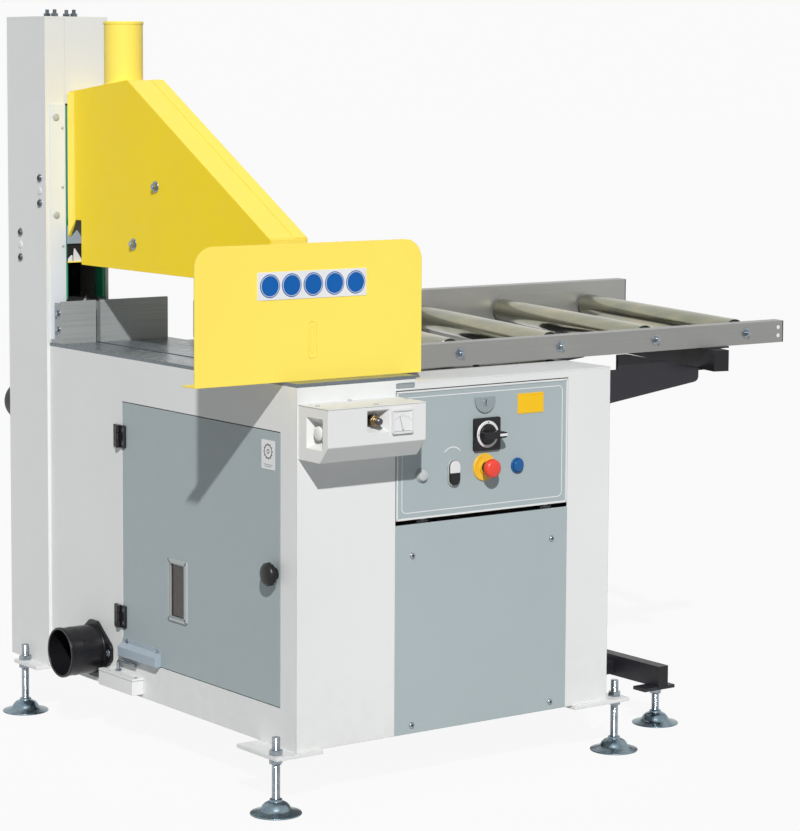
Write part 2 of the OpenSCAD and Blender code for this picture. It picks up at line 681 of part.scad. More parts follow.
module ring_box(x0, x1, y0, y1, z0, z1, x, z, ri, zz = undef) difference() {
    box(x0, x1, y0, y1, z0, z1);
    ry(y0 - 1, y1 > 1 ? y1 - 4 : y1 + 1, x, z, ri);
    if (zz != undef) ry(y0 - 1, y1 - 4, x, zz, ri);
}
module switch_knob() color("black") place() {
    ry(-12, -6 - gap, sw_x, T - 140, 26);
    box(sw_x - 22.5, sw_x + 22.5, -30, -12, T - 147, T - 133);
    ry(-12, 40, sw_x, T - 140, 10);
}
module estop_head() color("red") place() {
    ry(-40, -26, stop_x, T - 212, 20);
    ry(-26, -18, stop_x, T - 212, 17);
    ry(-18, 46, stop_x, T - 212, 12);
}
module reset_button() color("blue") place() ry(-9, 40, reset_x, T - 216, 11);
module start_button() color("white") place() {
    box(key_x - 12, key_x + 12, -9, -5.5, T - 217, T - 192);
    ry(-5.5, 36, key_x, T - 206, 7);
}
module stop_button() color("black") place() {
    box(key_x - 12, key_x + 12, -9, -5.5, T - 243, T - 219);
    ry(-5.5, 36, key_x, T - 229, 7);
}

// Two-hand buttons and feed valve

module left_button() color("white") place() {
    rx(8, 16, -59, T - 97, 22);
    rx(16, 40, -59, T - 97, 6);
}
module right_button() color("white") place() {
    rx(238, 246, -59, T - 97, 22);
    rx(214, 238, -59, T - 97, 6);
}
module valve_knob() color("goldenrod") place() {
    ry(-116, -90, valve_x, valve_z, 13);
    ry(-90, -72, valve_x, valve_z, 5);
}

// Rollers

module roller(i) skewed(roll_x + i * roller_pitch, ax_z) {
    l0 = rail_d / cos(roller_skew) + 14;
    l1 = (fence_y - rail_y) / cos(roller_skew) - 14;
    translate([0, 0, l0]) difference() {
        cylinder(h = l1 - l0, r = roller_d / 2);
        translate([0, 0, 10]) cylinder(h = l1 - l0 - 20, r = roller_d / 2 - 3);
        translate([0, 0, -1]) cylinder(h = l1 - l0 + 2, r = 8 + run);
    }
}
module roller_1() color("khaki") place() roller(0);
module roller_2() color("khaki") place() roller(1);
module roller_3() color("khaki") place() roller(2);
module roller_4() color("khaki") place() roller(3);

base();
side_left();
side_right();
rear_wall();
front_frame();
lower_panel();
cabinet_top();
table_plate();
table_fence();
shield();
shield_strip();
column_post();
column_shell();
guide_strips();
fasteners();
hood_cylinder();
lower_spout();
air_unit();
hand_box();
meter();
interlock();
feet();
front_rail();
rear_guide();
end_caps();
axles();
beam_supports();
outrigger();
enclosure();
pedestal();
lift_cylinder();
hinges();
hood_sides();
hood_cover();
carriage();
arm();
motor();
belts();
blade();
spindle();
motor_pulley();
lift_rod();
access_door();
door_trim();
window_glass();
door_knob();
panel_door();
panel_fittings();
switch_knob();
estop_head();
reset_button();
start_button();
stop_button();
left_button();
right_button();
valve_knob();
roller_1();
roller_2();
roller_3();
roller_4();
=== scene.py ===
import json
from itertools import product
from math import cos, pi, radians, sin
import bmesh
import bpy
from mathutils import Matrix, Vector


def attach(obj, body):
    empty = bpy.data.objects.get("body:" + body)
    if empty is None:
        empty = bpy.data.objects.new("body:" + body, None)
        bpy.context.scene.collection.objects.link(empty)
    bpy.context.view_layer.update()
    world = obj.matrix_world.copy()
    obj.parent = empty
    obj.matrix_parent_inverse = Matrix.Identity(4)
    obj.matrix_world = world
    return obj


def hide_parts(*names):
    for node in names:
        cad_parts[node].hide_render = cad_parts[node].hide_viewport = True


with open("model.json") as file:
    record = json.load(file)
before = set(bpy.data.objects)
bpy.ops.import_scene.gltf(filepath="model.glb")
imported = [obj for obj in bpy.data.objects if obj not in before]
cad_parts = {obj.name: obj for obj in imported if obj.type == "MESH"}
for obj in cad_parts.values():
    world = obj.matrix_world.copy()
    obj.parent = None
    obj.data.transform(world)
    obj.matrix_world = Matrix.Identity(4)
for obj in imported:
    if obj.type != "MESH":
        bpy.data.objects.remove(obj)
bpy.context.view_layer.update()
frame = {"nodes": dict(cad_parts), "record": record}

# Shared numbers of the part, in mm. X and Y start at the cabinet's front-left corner, Z at the floor.
# W and D are the cabinet's width and depth, ZB is its underside and T is the table's height.
W, D, ZB, T = 848.0, 1040.0, 125.0, 900.0
PLACE_X, PLACE_Y = -769.402, -579.5
COL_TOP = T + 760
COL_BACK = D + 185
SKEW = radians(13.5)
ARM_REST = radians(13.25)
PIVOT_Y, PIVOT_Z = 235.0, ZB + 565
X, Y, Z = Vector((1, 0, 0)), Vector((0, 1, 0)), Vector((0, 0, 1))
ALONG = Vector((sin(SKEW), cos(SKEW), 0))
ARM_Y = Vector((0, cos(ARM_REST), -sin(ARM_REST)))
ARM_Z = Vector((0, sin(ARM_REST), cos(ARM_REST)))
VIEW = bpy.context.scene
VIEW.view_settings.view_transform = "Standard"


def metres(p):
    """A working point in mm, in the frame's metres."""
    return Vector(((p[0] + PLACE_X) / 1000, (p[1] + PLACE_Y) / 1000, p[2] / 1000))


def arm_point(p):
    """A point given along the saw arm, in working mm at rest."""
    c, s = cos(ARM_REST), sin(ARM_REST)
    return Vector((p[0], PIVOT_Y + p[1] * c + p[2] * s, PIVOT_Z - p[1] * s + p[2] * c))


# Materials

class Nodes:
    """A small writer for one node tree."""

    def __init__(self, owner):
        owner.use_nodes = True
        self.nt = owner.node_tree
        self.nt.nodes.clear()

    def new(self, kind, ins=None, **props):
        """A node with its properties set, and its inputs set or linked."""
        n = self.nt.nodes.new("ShaderNode" + kind)
        for k, v in props.items():
            setattr(n, k, v)
        for k, v in (ins or {}).items():
            self.put(n.inputs[k], v)
        return n

    def put(self, socket, value):
        if isinstance(value, bpy.types.NodeSocket):
            self.nt.links.new(value, socket)
        else:
            socket.default_value = value

    def math(self, op, a, b):
        return self.new("Math", {0: a, 1: b}, operation=op).outputs[0]


class Look(Nodes):
    """A material around one Principled shader."""

    SOCKETS = {"col": "Base Color", "rough": "Roughness", "metal": "Metallic", "normal": "Normal",
            "trans": "Transmission Weight", "ior": "IOR", "spec": "Specular IOR Level"}

    def __init__(self, name):
        self.mat = bpy.data.materials.new(name)
        super().__init__(self.mat)
        self.bsdf = self.new("BsdfPrincipled")
        self.new("OutputMaterial", {0: self.bsdf.outputs[0]})
        self.coords = self.new("TexCoord").outputs["Object"]

    def set(self, **ins):
        for k, v in ins.items():
            self.put(self.bsdf.inputs[self.SOCKETS[k]], v)
        return self.mat

    def stretch(self, scale, turn=0.0):
        ins = {"Vector": self.coords, "Scale": scale, "Rotation": (0, 0, turn)}
        return self.new("Mapping", ins).outputs[0]

    def noise(self, scale, detail, at=None):
        ins = {"Vector": at or self.coords, "Scale": scale, "Detail": detail, "Roughness": 0.55}
        return self.new("TexNoise", ins).outputs[0]

    def span(self, value, a, b, c=0.0, d=1.0):
        return self.new("MapRange", {0: value, 1: a, 2: b, 3: c, 4: d}).outputs[0]

    def mix(self, fac, a, b):
        a, b = (v if isinstance(v, bpy.types.NodeSocket) else (*v, 1) for v in (a, b))
        return self.new("Mix", {0: fac, 6: a, 7: b}, data_type="RGBA").outputs[2]

    def rounded(self, radius):
        return self.new("Bevel", {"Radius": radius}, samples=4).outputs[0]

    def edge(self, radius):
        """1 on edges sharper than the radius can follow, 0 on flat ground."""
        flat = self.new("NewGeometry").outputs["Normal"]
        dot = self.new("VectorMath", {0: self.rounded(radius), 1: flat}, operation="DOT_PRODUCT")
        return self.span(self.math("SUBTRACT", 1.0, dot.outputs["Value"]), 0.02, 0.24)

    def bump(self, height, distance, strength, radius=None):
        """Relief on the surface, with the edges rounded by radius where it is given."""
        ins = {"Height": height, "Distance": distance, "Strength": strength}
        if radius:
            ins["Normal"] = self.rounded(radius)
        return self.new("Bump", ins).outputs[0]


def shade(col, k):
    return tuple(min(1.0, c * k) for c in col)


# Depths of surface texture and widths of rubbed edges, in metres
PEEL, GRIND, SMOOTH = 0.00006, 0.00005, 0.00002
PAINT_EDGE, METAL_EDGE, FINE_EDGE, PLASTIC_ROUND = 0.0016, 0.001, 0.0008, 0.0007
DUST, ENAMEL_BLACK, DULL_ZINC = (0.36, 0.33, 0.28), (0.012, 0.012, 0.014), (0.30, 0.30, 0.29)


def paint(name, col, rough, wear, worn, low_dirt=0.0, spec=0.5, black_below=None):
    """Powder coat: orange peel, cloudy gloss, rubbed edges, and dust low down where it is asked for.
    Below the height black_below the part is enamelled black."""
    t = Look(name)
    cloud, mid, fine, speck = t.noise(2.6, 4), t.noise(34, 5), t.noise(720, 2), t.noise(150, 2)
    c = t.mix(t.span(cloud, 0.34, 0.68), shade(col, 0.955), col)
    c = t.mix(t.span(speck, 0.70, 0.78, 0.0, 0.16), c, shade(col, 0.72))
    z = t.new("SeparateXYZ", {0: t.coords}).outputs[2]
    if low_dirt:
        low = t.math("MULTIPLY", t.span(z, 0.12, 0.34, 1.0, 0.0), t.span(mid, 0.42, 0.66))
        c = t.mix(t.math("MULTIPLY", low, low_dirt), c, DUST)
    rub = t.math("MULTIPLY", t.edge(PAINT_EDGE), t.span(mid, 0.50, 0.66, 0.0, worn))
    c = t.mix(rub, c, wear)
    if black_below:
        c = t.mix(t.span(z, black_below - 0.0002, black_below + 0.0002, 1.0, 0.0), c, ENAMEL_BLACK)
    gloss = t.span(t.math("ADD", mid, cloud), 0.75, 1.25, rough - 0.06, rough + 0.10)
    return t.set(col=c, rough=gloss, normal=t.bump(fine, PEEL, 0.8, PAINT_EDGE), spec=spec)


def metal(name, col, rough, share, grain, spread, tint=None):
    """Drawn or ground metal with a grain direction, cloudy tarnish and bright edges."""
    t = Look(name)
    lines = t.noise(1.0, 3, t.stretch(grain))
    cloud, mid = t.noise(5, 5), t.noise(46, 5)
    c = t.mix(t.span(lines, 0.30, 0.72), shade(col, 1 - spread), shade(col, 1 + spread * 0.6))
    c = t.mix(t.span(cloud, 0.40, 0.70, 0.0, 0.55), c, tint or shade(col, 0.80))
    rub = t.math("MULTIPLY", t.edge(METAL_EDGE), t.span(mid, 0.40, 0.62, 0.0, 0.6))
    c = t.mix(rub, c, shade(col, 1.35))
    gloss = t.math("ADD", t.span(lines, 0.3, 0.7, rough - 0.07, rough + 0.07),
            t.span(mid, 0.35, 0.7, -0.03, 0.08))
    return t.set(col=c, metal=share, rough=gloss, normal=t.bump(lines, GRIND, 0.55, METAL_EDGE))


def plated(name, stops, rough, scale, grain=(10, 10, 10), turn=0.0, dull=0.2):
    """Zinc plating: passivation colours drift over the surface in cloudy bands."""
    t = Look(name)
    at = t.stretch(grain, turn)
    drift = t.math("ADD", t.math("MULTIPLY", t.noise(scale, 4, at), 0.7),
            t.math("MULTIPLY", t.noise(scale * 3.1, 3, at), 0.3))
    ramp = t.new("ValToRGB", {0: drift})
    e = ramp.color_ramp.elements
    while len(e) < len(stops):
        e.new(0.5)
    for k, (pos, col) in enumerate(stops):
        e[k].position = pos
        e[k].color = (*col, 1)
    mid, fine = t.noise(60, 4), t.noise(500, 2)
    c = t.mix(t.span(mid, 0.60, 0.76, 0.0, dull), ramp.outputs[0], DULL_ZINC)
    return t.set(col=c, metal=1.0, rough=t.span(mid, 0.3, 0.72, rough - 0.04, rough + 0.08),
            normal=t.bump(fine, SMOOTH, 0.5, FINE_EDGE))


def plastic(name, col, rough, spec=0.5, grain=900, depth=0.00004):
    """Moulded plastic: fine erosion texture, faint flow marks, paler rubbed edges."""
    t = Look(name)
    fine, flow, mid = t.noise(grain, 2), t.noise(9, 3), t.noise(70, 4)
    c = t.mix(t.span(flow, 0.35, 0.7), shade(col, 0.92), col)
    pale = tuple(v + (0.30 - v) * 0.5 if v < 0.3 else min(1, v * 1.05) for v in col)
    c = t.mix(t.math("MULTIPLY", t.edge(FINE_EDGE), t.span(mid, 0.45, 0.65, 0.0, 0.25)), c, pale)
    return t.set(col=c, rough=t.span(mid, 0.3, 0.7, rough - 0.05, rough + 0.09), spec=spec,
            normal=t.bump(fine, depth, 0.7, PLASTIC_ROUND))


def pane(name, col):
    """Tinted pane with wipe marks and a little dust."""
    t = Look(name)
    wipe, mid = t.noise(1.0, 3, t.stretch((60, 22, 260))), t.noise(50, 5)
    return t.set(col=t.mix(t.span(mid, 0.5, 0.8, 0.0, 0.5), col, shade(col, 1.8)), trans=0.62, ior=1.49,
            rough=t.span(wipe, 0.3, 0.7, 0.05, 0.16), normal=t.bump(wipe, SMOOTH, 0.3))


WHITE, YELLOW, YELLOW_LIT_COPY = (0.745, 0.758, 0.757), (1.0, 0.745, 0.010), (1.0, 0.79, 0.125)
GREY = (0.395, 0.465, 0.485)
PANEL_GREY, DOOR_GREY = shade(GREY, 0.94), shade(GREY, 0.885)
WORN_WHITE, WORN_GREY = (0.60, 0.60, 0.58), (0.62, 0.64, 0.64)
SILL = T - 312
DRAWN, GROUND, TURNED, FILM = (2.2, 520, 520), (5, 300, 300), (120, 20, 120), (400, 0.00002)
# Colour, roughness, colour and share of the rubbed edges, dust low down, specular level, height of the black
PAINTS = {
    "white_paint": (WHITE, 0.40, WORN_WHITE, 0.30, 0.07),
    # The next entry is the white paint tinted cool: painted light, cancelling the hood's yellow bounce on the
    # column front
    "white_cool": ((0.69, 0.735, 0.80), 0.44, WORN_WHITE, 0.30),
    "panel_grey": (PANEL_GREY, 0.42, WORN_GREY, 0.45, 0.06),
    "hinged_panel": (PANEL_GREY, 0.42, WORN_GREY, 0.45, 0.0, 0.5, (SILL - 0.4) / 1000),
    "door_grey": (DOOR_GREY, 0.42, WORN_GREY, 0.45, 0.06),
    "yellow_paint": (YELLOW, 0.44, (0.75, 0.60, 0.16), 0.35, 0.0, 0.35),
    # The next entry is the same yellow paint made paler: painted light for the shield, hood slope and trim,
    # which face the light
    "yellow_pale": (YELLOW_LIT_COPY, 0.44, (0.80, 0.68, 0.30), 0.35, 0.0, 0.35),
    "black_paint": ((0.014, 0.014, 0.019), 0.40, (0.16, 0.16, 0.17), 0.6, 0.0, 0.4),
    "motor_blue": ((0.05, 0.14, 0.33), 0.34, (0.30, 0.33, 0.36), 0.7),
    # The next entry is painted dim light: a dark grey for the dimly lit part of the column's inside
    "lining_grey": ((0.20, 0.195, 0.185), 0.48, (0.3, 0.3, 0.29), 0.8),
    "machine_grey": ((0.30, 0.33, 0.35), 0.40, (0.45, 0.45, 0.44), 0.8),
    "cover_blue": ((0.33, 0.40, 0.46), 0.34, (0.55, 0.57, 0.58), 0.6),
}
# Colour, roughness, metallic share, grain, spread of the grain's shade, tarnish
METALS = {
    "bare_steel": ((0.46, 0.47, 0.47), 0.34, 0.9, GROUND, 0.20, (0.33, 0.33, 0.31)),
    "fence_metal": ((0.345, 0.365, 0.37), 0.46, 0.2, (4, 300, 300), 0.16, (0.29, 0.31, 0.32)),
    "table_steel": ((0.16, 0.19, 0.21), 0.27, 0.35, GROUND, 0.16, (0.12, 0.14, 0.15)),
    "aluminium": ((0.335, 0.335, 0.325), 0.40, 0.6, DRAWN, 0.06, (0.30, 0.30, 0.292)),
    "rail_metal": ((0.285, 0.285, 0.277), 0.40, 0.5, DRAWN, 0.06, (0.26, 0.26, 0.253)),
    "saw_steel": ((0.55, 0.56, 0.57), 0.26, 1.0, (300, 9, 300), 0.18, (0.42, 0.42, 0.41)),
    "dark_steel": ((0.10, 0.10, 0.11), 0.36, 0.9, (60, 60, 60), 0.25),
    "bronze": ((0.30, 0.215, 0.115), 0.26, 1.0, TURNED, 0.2),
    "brass": ((0.62, 0.46, 0.19), 0.28, 1.0, TURNED, 0.2),
}
# Colours along the drift, roughness, scale, stretch, turn, share of dull spots
PLATINGS = {
    "zinc": ([(0.30, (0.17, 0.22, 0.27)), (0.46, (0.28, 0.32, 0.36)), (0.60, (0.37, 0.40, 0.42)),
        (0.76, (0.21, 0.26, 0.32))], 0.20, 6),
    # The next entry is blue zinc made darker and bluer than the nuts' zinc: a painted reflection of dark blue
    # sky on the foot plates
    "foot_zinc": ([(0.30, (0.110, 0.165, 0.215)), (0.46, (0.18, 0.245, 0.29)), (0.60, (0.24, 0.31, 0.345)),
        (0.76, (0.137, 0.20, 0.26))], 0.24, 6),
    "zinc_dark": ([(0.30, (0.07, 0.09, 0.11)), (0.50, (0.13, 0.15, 0.17)),
        (0.70, (0.20, 0.22, 0.24))], 0.28, 6),
    "yellow_zinc": ([(0.30, (0.22, 0.225, 0.165)), (0.44, (0.285, 0.29, 0.215)), (0.56, (0.36, 0.345, 0.24)),
        (0.65, (0.47, 0.39, 0.25)), (0.78, (0.30, 0.32, 0.265))], 0.17, 1.0, (16, 0.5, 16), SKEW, 0.05),
}
# Colour, roughness, specular level, fineness and depth of the texture
PLASTICS = {
    "green_plastic": ((0.02, 0.36, 0.18), 0.42),
    "black_plastic": ((0.008, 0.008, 0.010), 0.30, 0.32),
    "white_plastic": ((0.755, 0.765, 0.765), 0.30),
    "red_plastic": ((0.80, 0.055, 0.030), 0.28),
    "blue_plastic": ((0.004, 0.098, 0.30), 0.26, 0.35),
    "stop_yellow": ((0.86, 0.52, 0.03), 0.34),
    "lock_grey": ((0.27, 0.32, 0.335), 0.40),
    "frame_grey": ((0.44, 0.46, 0.47), 0.32),
    "lamp_grey": ((0.52, 0.56, 0.57), 0.20, 0.5, 300, 0.0001),
    "rubber": ((0.022, 0.022, 0.022), 0.62, 0.5, 300, 0.0002),
    "sign_white": ((0.80, 0.81, 0.82), 0.36, 0.5, *FILM),
    "sign_blue": ((0.002, 0.105, 0.40), 0.50, 0.25, *FILM),
    "label_yellow": ((0.95, 0.57, 0.012), 0.40, 0.25, *FILM),
    "ink_grey": ((0.46, 0.49, 0.50), 0.45, 0.5, *FILM),
    "ink_black": ((0.02, 0.02, 0.022), 0.45, 0.5, *FILM),
}
M = {"glass": pane("look_glass", (0.085, 0.068, 0.055))}
for make, table in ((paint, PAINTS), (metal, METALS), (plated, PLATINGS), (plastic, PLASTICS)):
    M.update((name, make("look_" + name, *values)) for name, values in table.items())

# CAD nodes keep their shape and take the finished materials: their slot's, or the one named here
# The carriage takes the blue-grey cover look as painted shade: it stands for a white plate lying in shadow
NODE_LOOK = {
    "table_fence": "fence_metal", "blade": "saw_steel", "shield_strip": "sign_white",
    # Shield and hood cover take the paler yellow copy, which is painted light
    "carriage": "cover_blue", "shield": "yellow_pale", "hood_cover": "yellow_pale",
    "table_plate": "table_steel", "panel_door": "hinged_panel", "front_rail": "rail_metal",
}
SLOT_OF = {k["node"]: k["material_slot"] for k in frame["record"]["subparts"]}
for n, o in frame["nodes"].items():
    o.data.materials.clear()
    o.data.materials.append(M[NODE_LOOK.get(n, SLOT_OF[n])])


# Meshes

def arc(cx, cy, r, degrees):
    """Points of a circle at the given degrees."""
    turns = [radians(a) for a in degrees]
    return [(cx + r * cos(a), cy + r * sin(a)) for a in turns]


def spoke(a, u=X, v=Z):
    """The direction at a degrees, from u towards v."""
    return u * cos(radians(a)) + v * sin(radians(a))


def circle(c, u, v, r, n):
    """n points round c in the plane of u and v, or c alone where the radius is nothing."""
    turns = [2 * pi * i / n for i in range(n)] if r else [0]
    return [c + (u * cos(a) + v * sin(a)) * r for a in turns]


def rect(x0, x1, y0, y1, r, n=6):
    """Outline of a rectangle with round corners."""
    corners = ((x1 - r, y0 + r, -90), (x1 - r, y1 - r, 0), (x0 + r, y1 - r, 90), (x0 + r, y0 + r, 180))
    return [k for cx, cy, a in corners for k in arc(cx, cy, r, [a + 90 * i / n for i in range(n + 1)])]


def on_front(y):
    """Front plane at depth y: u along X, v up; thickness goes towards the viewer."""
    return (0, y, 0), X, Z


def on_left(x):
    """Left plane at x: u along -Y, v up; thickness goes out to the left."""
    return (x, 0, 0), -Y, Z


def on_right(x):
    """Right plane at x: u along Y, v up; thickness goes out to the right."""
    return (x, 0, 0), Y, Z


FRONT = on_front(0)


def link_mesh(bm, name):
    """Turns a finished bmesh into an object of the scene."""
    me = bpy.data.meshes.new(name)
    bm.to_mesh(me)
    bm.free()
    o = bpy.data.objects.new(name, me)
    VIEW.collection.objects.link(o)
    return o


class Piece:
    """One visible piece: parts are added in working mm, then it becomes an object on a body.
    A part takes the piece's own look, or else its slot's, unless it names another."""

    made = []

    def __init__(self, name, body, slot, *replaced, look=None):
        self.name, self.body, self.slot, self.replaced = name, body, slot, replaced
        self.look = look or slot
        self.bm = bmesh.new()
        self.looks = []
        self.made.append(self)

    def take(self, part, look):
        look = look or self.look
        if look not in self.looks:
            self.looks.append(look)
        k = self.looks.index(look)
        for f in part.faces:
            f.material_index = k
        bmesh.ops.recalc_face_normals(part, faces=part.faces)
        me = bpy.data.meshes.new("part")
        part.to_mesh(me)
        part.free()
        self.bm.from_mesh(me)
        bpy.data.meshes.remove(me)

    def skin(self, rings, look, closed=False, caps=False, soft=0.0):
        """Joins rings of points by faces; a ring of one point is a tip. Edges are rounded by soft."""
        part = bmesh.new()
        rings = [[part.verts.new(k) for k in ring] for ring in rings]
        n = max(len(ring) for ring in rings)
        if caps:
            part.faces.new(rings[0][::-1])
            part.faces.new(rings[-1])
        for p, q in zip(rings, rings[1:] + rings[:1] if closed else rings[1:]):
            for i in range(n):
                j = (i + 1) % n
                corners = p[i % len(p)], p[j % len(p)], q[j % len(q)], q[i % len(q)]
                part.faces.new(list(dict.fromkeys(corners)))
        if soft:
            bmesh.ops.bevel(part, geom=list(part.edges), offset=soft, segments=2, profile=0.6,
                    affect="EDGES", clamp_overlap=True)
        self.take(part, look)

    def solid(self, base, top, soft=0.0, look=None):
        """A prism between two loops of points."""
        self.skin([base, top], look, caps=True, soft=soft)

    def box(self, x0, x1, y0, y1, z0, z1, soft=0.6, look=None):
        base = [(x0, y0, z0), (x1, y0, z0), (x1, y1, z0), (x0, y1, z0)]
        self.solid(base, [(x, y, z1) for x, y, z in base], soft, look)

    def prism(self, pts, place, thick, soft=0.6, look=None):
        """pts in a plane given by place = (origin, u, v); thick along u x v."""
        o, u, v = (Vector(k) for k in place)
        w = u.cross(v).normalized() * thick
        base = [o + u * a + v * b for a, b in pts]
        self.solid(base, [p + w for p in base], soft, look)

    def lathe(self, at, axis, profile, n=40, look=None, closed=False):
        """profile as (radius, distance along the axis) pairs, turned about the axis from at."""
        a = Vector(axis).normalized()
        u = a.orthogonal().normalized()
        v = a.cross(u)
        self.skin([circle(Vector(at) + a * s, u, v, r, n) for r, s in profile], look, closed)

    def rod(self, at, axis, r, s0, s1, n=24, look=None):
        """A plain round bar between two distances along the axis."""
        self.lathe(at, axis, [(0, s0), (r, s0), (r, s1), (0, s1)], n, look)

    def tube(self, path, r, n=14, look=None):
        """A round bar along a polyline, closed at both ends."""
        path = [Vector(p) for p in path]
        rings = []
        u = None
        for i, p in enumerate(path):
            d = (path[min(i + 1, len(path) - 1)] - path[max(i - 1, 0)]).normalized()
            u = (u - d * u.dot(d)).normalized() if u else d.orthogonal().normalized()
            rings.append(circle(p, u, d.cross(u), r, n))
        self.skin(rings, look, caps=True)

    def ring(self, pts, place, width, thick, look=None):
        """A flat closed band of the given width, inside the outline pts."""
        o, u, v = (Vector(k) for k in place)
        w = u.cross(v).normalized() * thick
        inner = []
        for i, p in enumerate(pts):
            p, a, b = Vector(p), Vector(pts[i - 1]), Vector(pts[(i + 1) % len(pts)])
            d0, d1 = (p - a).normalized(), (b - p).normalized()
            n0, n1 = Vector((-d0.y, d0.x)), Vector((-d1.y, d1.x))
            m = (n0 + n1).normalized()
            inner.append(p + m * (width / max(0.3, m.dot(n0))))
        self.skin([[o + u * p[0] + v * p[1] + w * k for p in loop]
                for loop, k in ((pts, 0), (pts, 1), (inner, 1), (inner, 0))], look, True)

    def bolt(self, at, out, r, high, look="zinc", washer=True, stud=0.0):
        """Hexagon head with chamfered corners, a washer and, where asked, a stud end."""
        s = 0.0
        if washer:
            s = r * 0.18
            rim = [(0, 0), (r * 1.42, 0), (r * 1.45, s * 0.4), (r * 1.40, s), (0, s)]
            self.lathe(at, out, rim, 28, look)
        top = s + high
        self.lathe(at, out, [(0, s), (r, s), (r, s + high * 0.82), (r * 0.90, top), (0, top)], 6, look)
        if stud:
            self.thread(Vector(at) + Vector(out).normalized() * top, out, r * 0.55, stud, look=look)

    def screw(self, at, out, r, high, look="zinc"):
        """Pan head with a hexagon socket."""
        q = r * 0.46
        dome = [(r, 0), (r, high * 0.35), (r * 0.93, high * 0.68), (r * 0.78, high * 0.90), (r * 0.60, high)]
        self.lathe(at, out, dome + [(q, high)], 24, look)
        self.lathe(at, out, [(q, high), (q * 0.94, high * 0.35), (0, high * 0.30)], 24,
                "ink_black" if look == "dark_steel" else "dark_steel")

    def pan(self, at, out, r, high, look="zinc"):
        """Plain domed head."""
        dome = [(r, 0), (r, high * 0.4), (r * 0.92, high * 0.72), (r * 0.70, high * 0.94), (0, high)]
        self.lathe(at, out, dome, 28, look)

    def thread(self, at, out, r, length, pitch=2.0, look="zinc"):
        k = max(2, int(length / pitch))
        step = length / k
        turns = [(0, 0)]
        for i in range(k):
            turns += [(r * 0.93, step * i + 0.05 * step), (r, step * (i + 0.5))]
        self.lathe(at, out, turns + [(r * 0.86, length), (0, length)], 18, look)

    def mark(self, at, along, out, length, width, look):
        """A printed bar: starts at a point, runs along one direction and stands 0.3 mm proud."""
        q = along.cross(out).normalized() * (width / 2)
        loop = [at - q, at + q, at + q + along * length, at - q + along * length]
        self.solid(loop, [k + out * 0.3 for k in loop], look=look)

    def dial(self, centre, spokes, out, r, width, look):
        """Printed marks round a dial, every fifth one longer."""
        for k, d in enumerate(spokes):
            self.mark(centre + d * r, d, out, 7 if k % 5 == 0 else 4, width, look)

    def cut(self, *cutters):
        """Takes the cutters' volumes out of everything added so far."""
        body = link_mesh(self.bm, "cut_body")
        tools = []
        for c in cutters:
            self.made.remove(c)
            tools.append(link_mesh(c.bm, "cut_tool"))
            m = body.modifiers.new("cut", "BOOLEAN")
            m.object, m.operation, m.solver = tools[-1], "DIFFERENCE", "EXACT"
        bpy.context.view_layer.update()
        got = bpy.data.meshes.new_from_object(body.evaluated_get(bpy.context.evaluated_depsgraph_get()))
        self.bm = bmesh.new()
        self.bm.from_mesh(got)
        for me in [o.data for o in tools + [body]] + [got]:
            bpy.data.meshes.remove(me)

    def done(self):
        for v in self.bm.verts:
            v.co = metres(v.co)
        o = link_mesh(self.bm, self.name)
        for k in self.looks:
            o.data.materials.append(M[k])
        for p in o.data.polygons:
            p.use_smooth = True
        o.data.set_sharp_from_angle(angle=radians(38))
        even = o.modifiers.new("even", "WEIGHTED_NORMAL")
        even.keep_sharp = True
        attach(o, self.body)
        if self.replaced:
            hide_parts(*self.replaced)


# Camera: fitted to the photo, in pixels, radians and working mm
PX_H, CENTRE_Y, SENSOR = 831, 340.0, 36.0
FOCAL, YAW, PITCH, ROLL = 2732.73, 0.634371, -0.098249, 0.005249
EYE = (-3142.61, -4626.72, T + 643.47)

fwd = Vector((sin(YAW) * cos(PITCH), cos(YAW) * cos(PITCH), sin(PITCH)))
right = Vector((cos(YAW), -sin(YAW), 0))
up = right.cross(fwd)
right, up = right * cos(ROLL) + up * sin(ROLL), up * cos(ROLL) - right * sin(ROLL)
cam = bpy.data.objects.new("camera", bpy.data.cameras.new("camera"))
VIEW.collection.objects.link(cam)
VIEW.camera = cam
cam.matrix_world = Matrix.Translation(metres(EYE)) @ Matrix((right, up, -fwd)).transposed().to_4x4()
cam.data.sensor_width = SENSOR
cam.data.lens = FOCAL * SENSOR / PX_H
cam.data.shift_y = (CENTRE_Y - PX_H / 2) / PX_H
cam.data.clip_end = 200

# Light and floor
SUN, AMBIENT, SHADOW_SHARE = 3.48, 0.19, 0.08
SUN_COLOUR, SUN_ANGLE, SUN_WAY = (1.0, 0.985, 0.965), radians(1.4), Vector((0.436, 0.674, -0.592))
SKY, BACKDROP, FLOOR = (0.84, 0.92, 1.0, 1), (0.954, 0.956, 0.954, 1), (0.50, 0.50, 0.50, 1)
FLOOR_HALF = 60.0


def split(nodes, out, unseen, seen, share=1.0):
    """Gives seen its share of the rays that reach the camera straight, by a mirror or through glass."""
    path = nodes.new("LightPath").outputs
    fac = path["Is Camera Ray"]
    for name in ("Is Glossy Ray", "Is Transmission Ray"):
        fac = nodes.math("MAXIMUM", fac, path[name])
    if share < 1:
        fac = nodes.math("MULTIPLY", fac, share)
    nodes.new(out, {0: nodes.new("MixShader", {0: fac, 1: unseen, 2: seen}).outputs[0]})


sun = bpy.data.objects.new("key", bpy.data.lights.new("key", "SUN"))
sun.data.energy = SUN
sun.data.color = SUN_COLOUR
sun.data.angle = SUN_ANGLE
sun.rotation_euler = SUN_WAY.to_track_quat("-Z", "Y").to_euler()
VIEW.collection.objects.link(sun)

VIEW.world = bpy.data.worlds.new("studio")
nodes = Nodes(VIEW.world)
sky, white = (nodes.new("Background", {0: c, 1: k}).outputs[0] for c, k in ((SKY, AMBIENT), (BACKDROP, 1.0)))
split(nodes, "OutputWorld", sky, white)

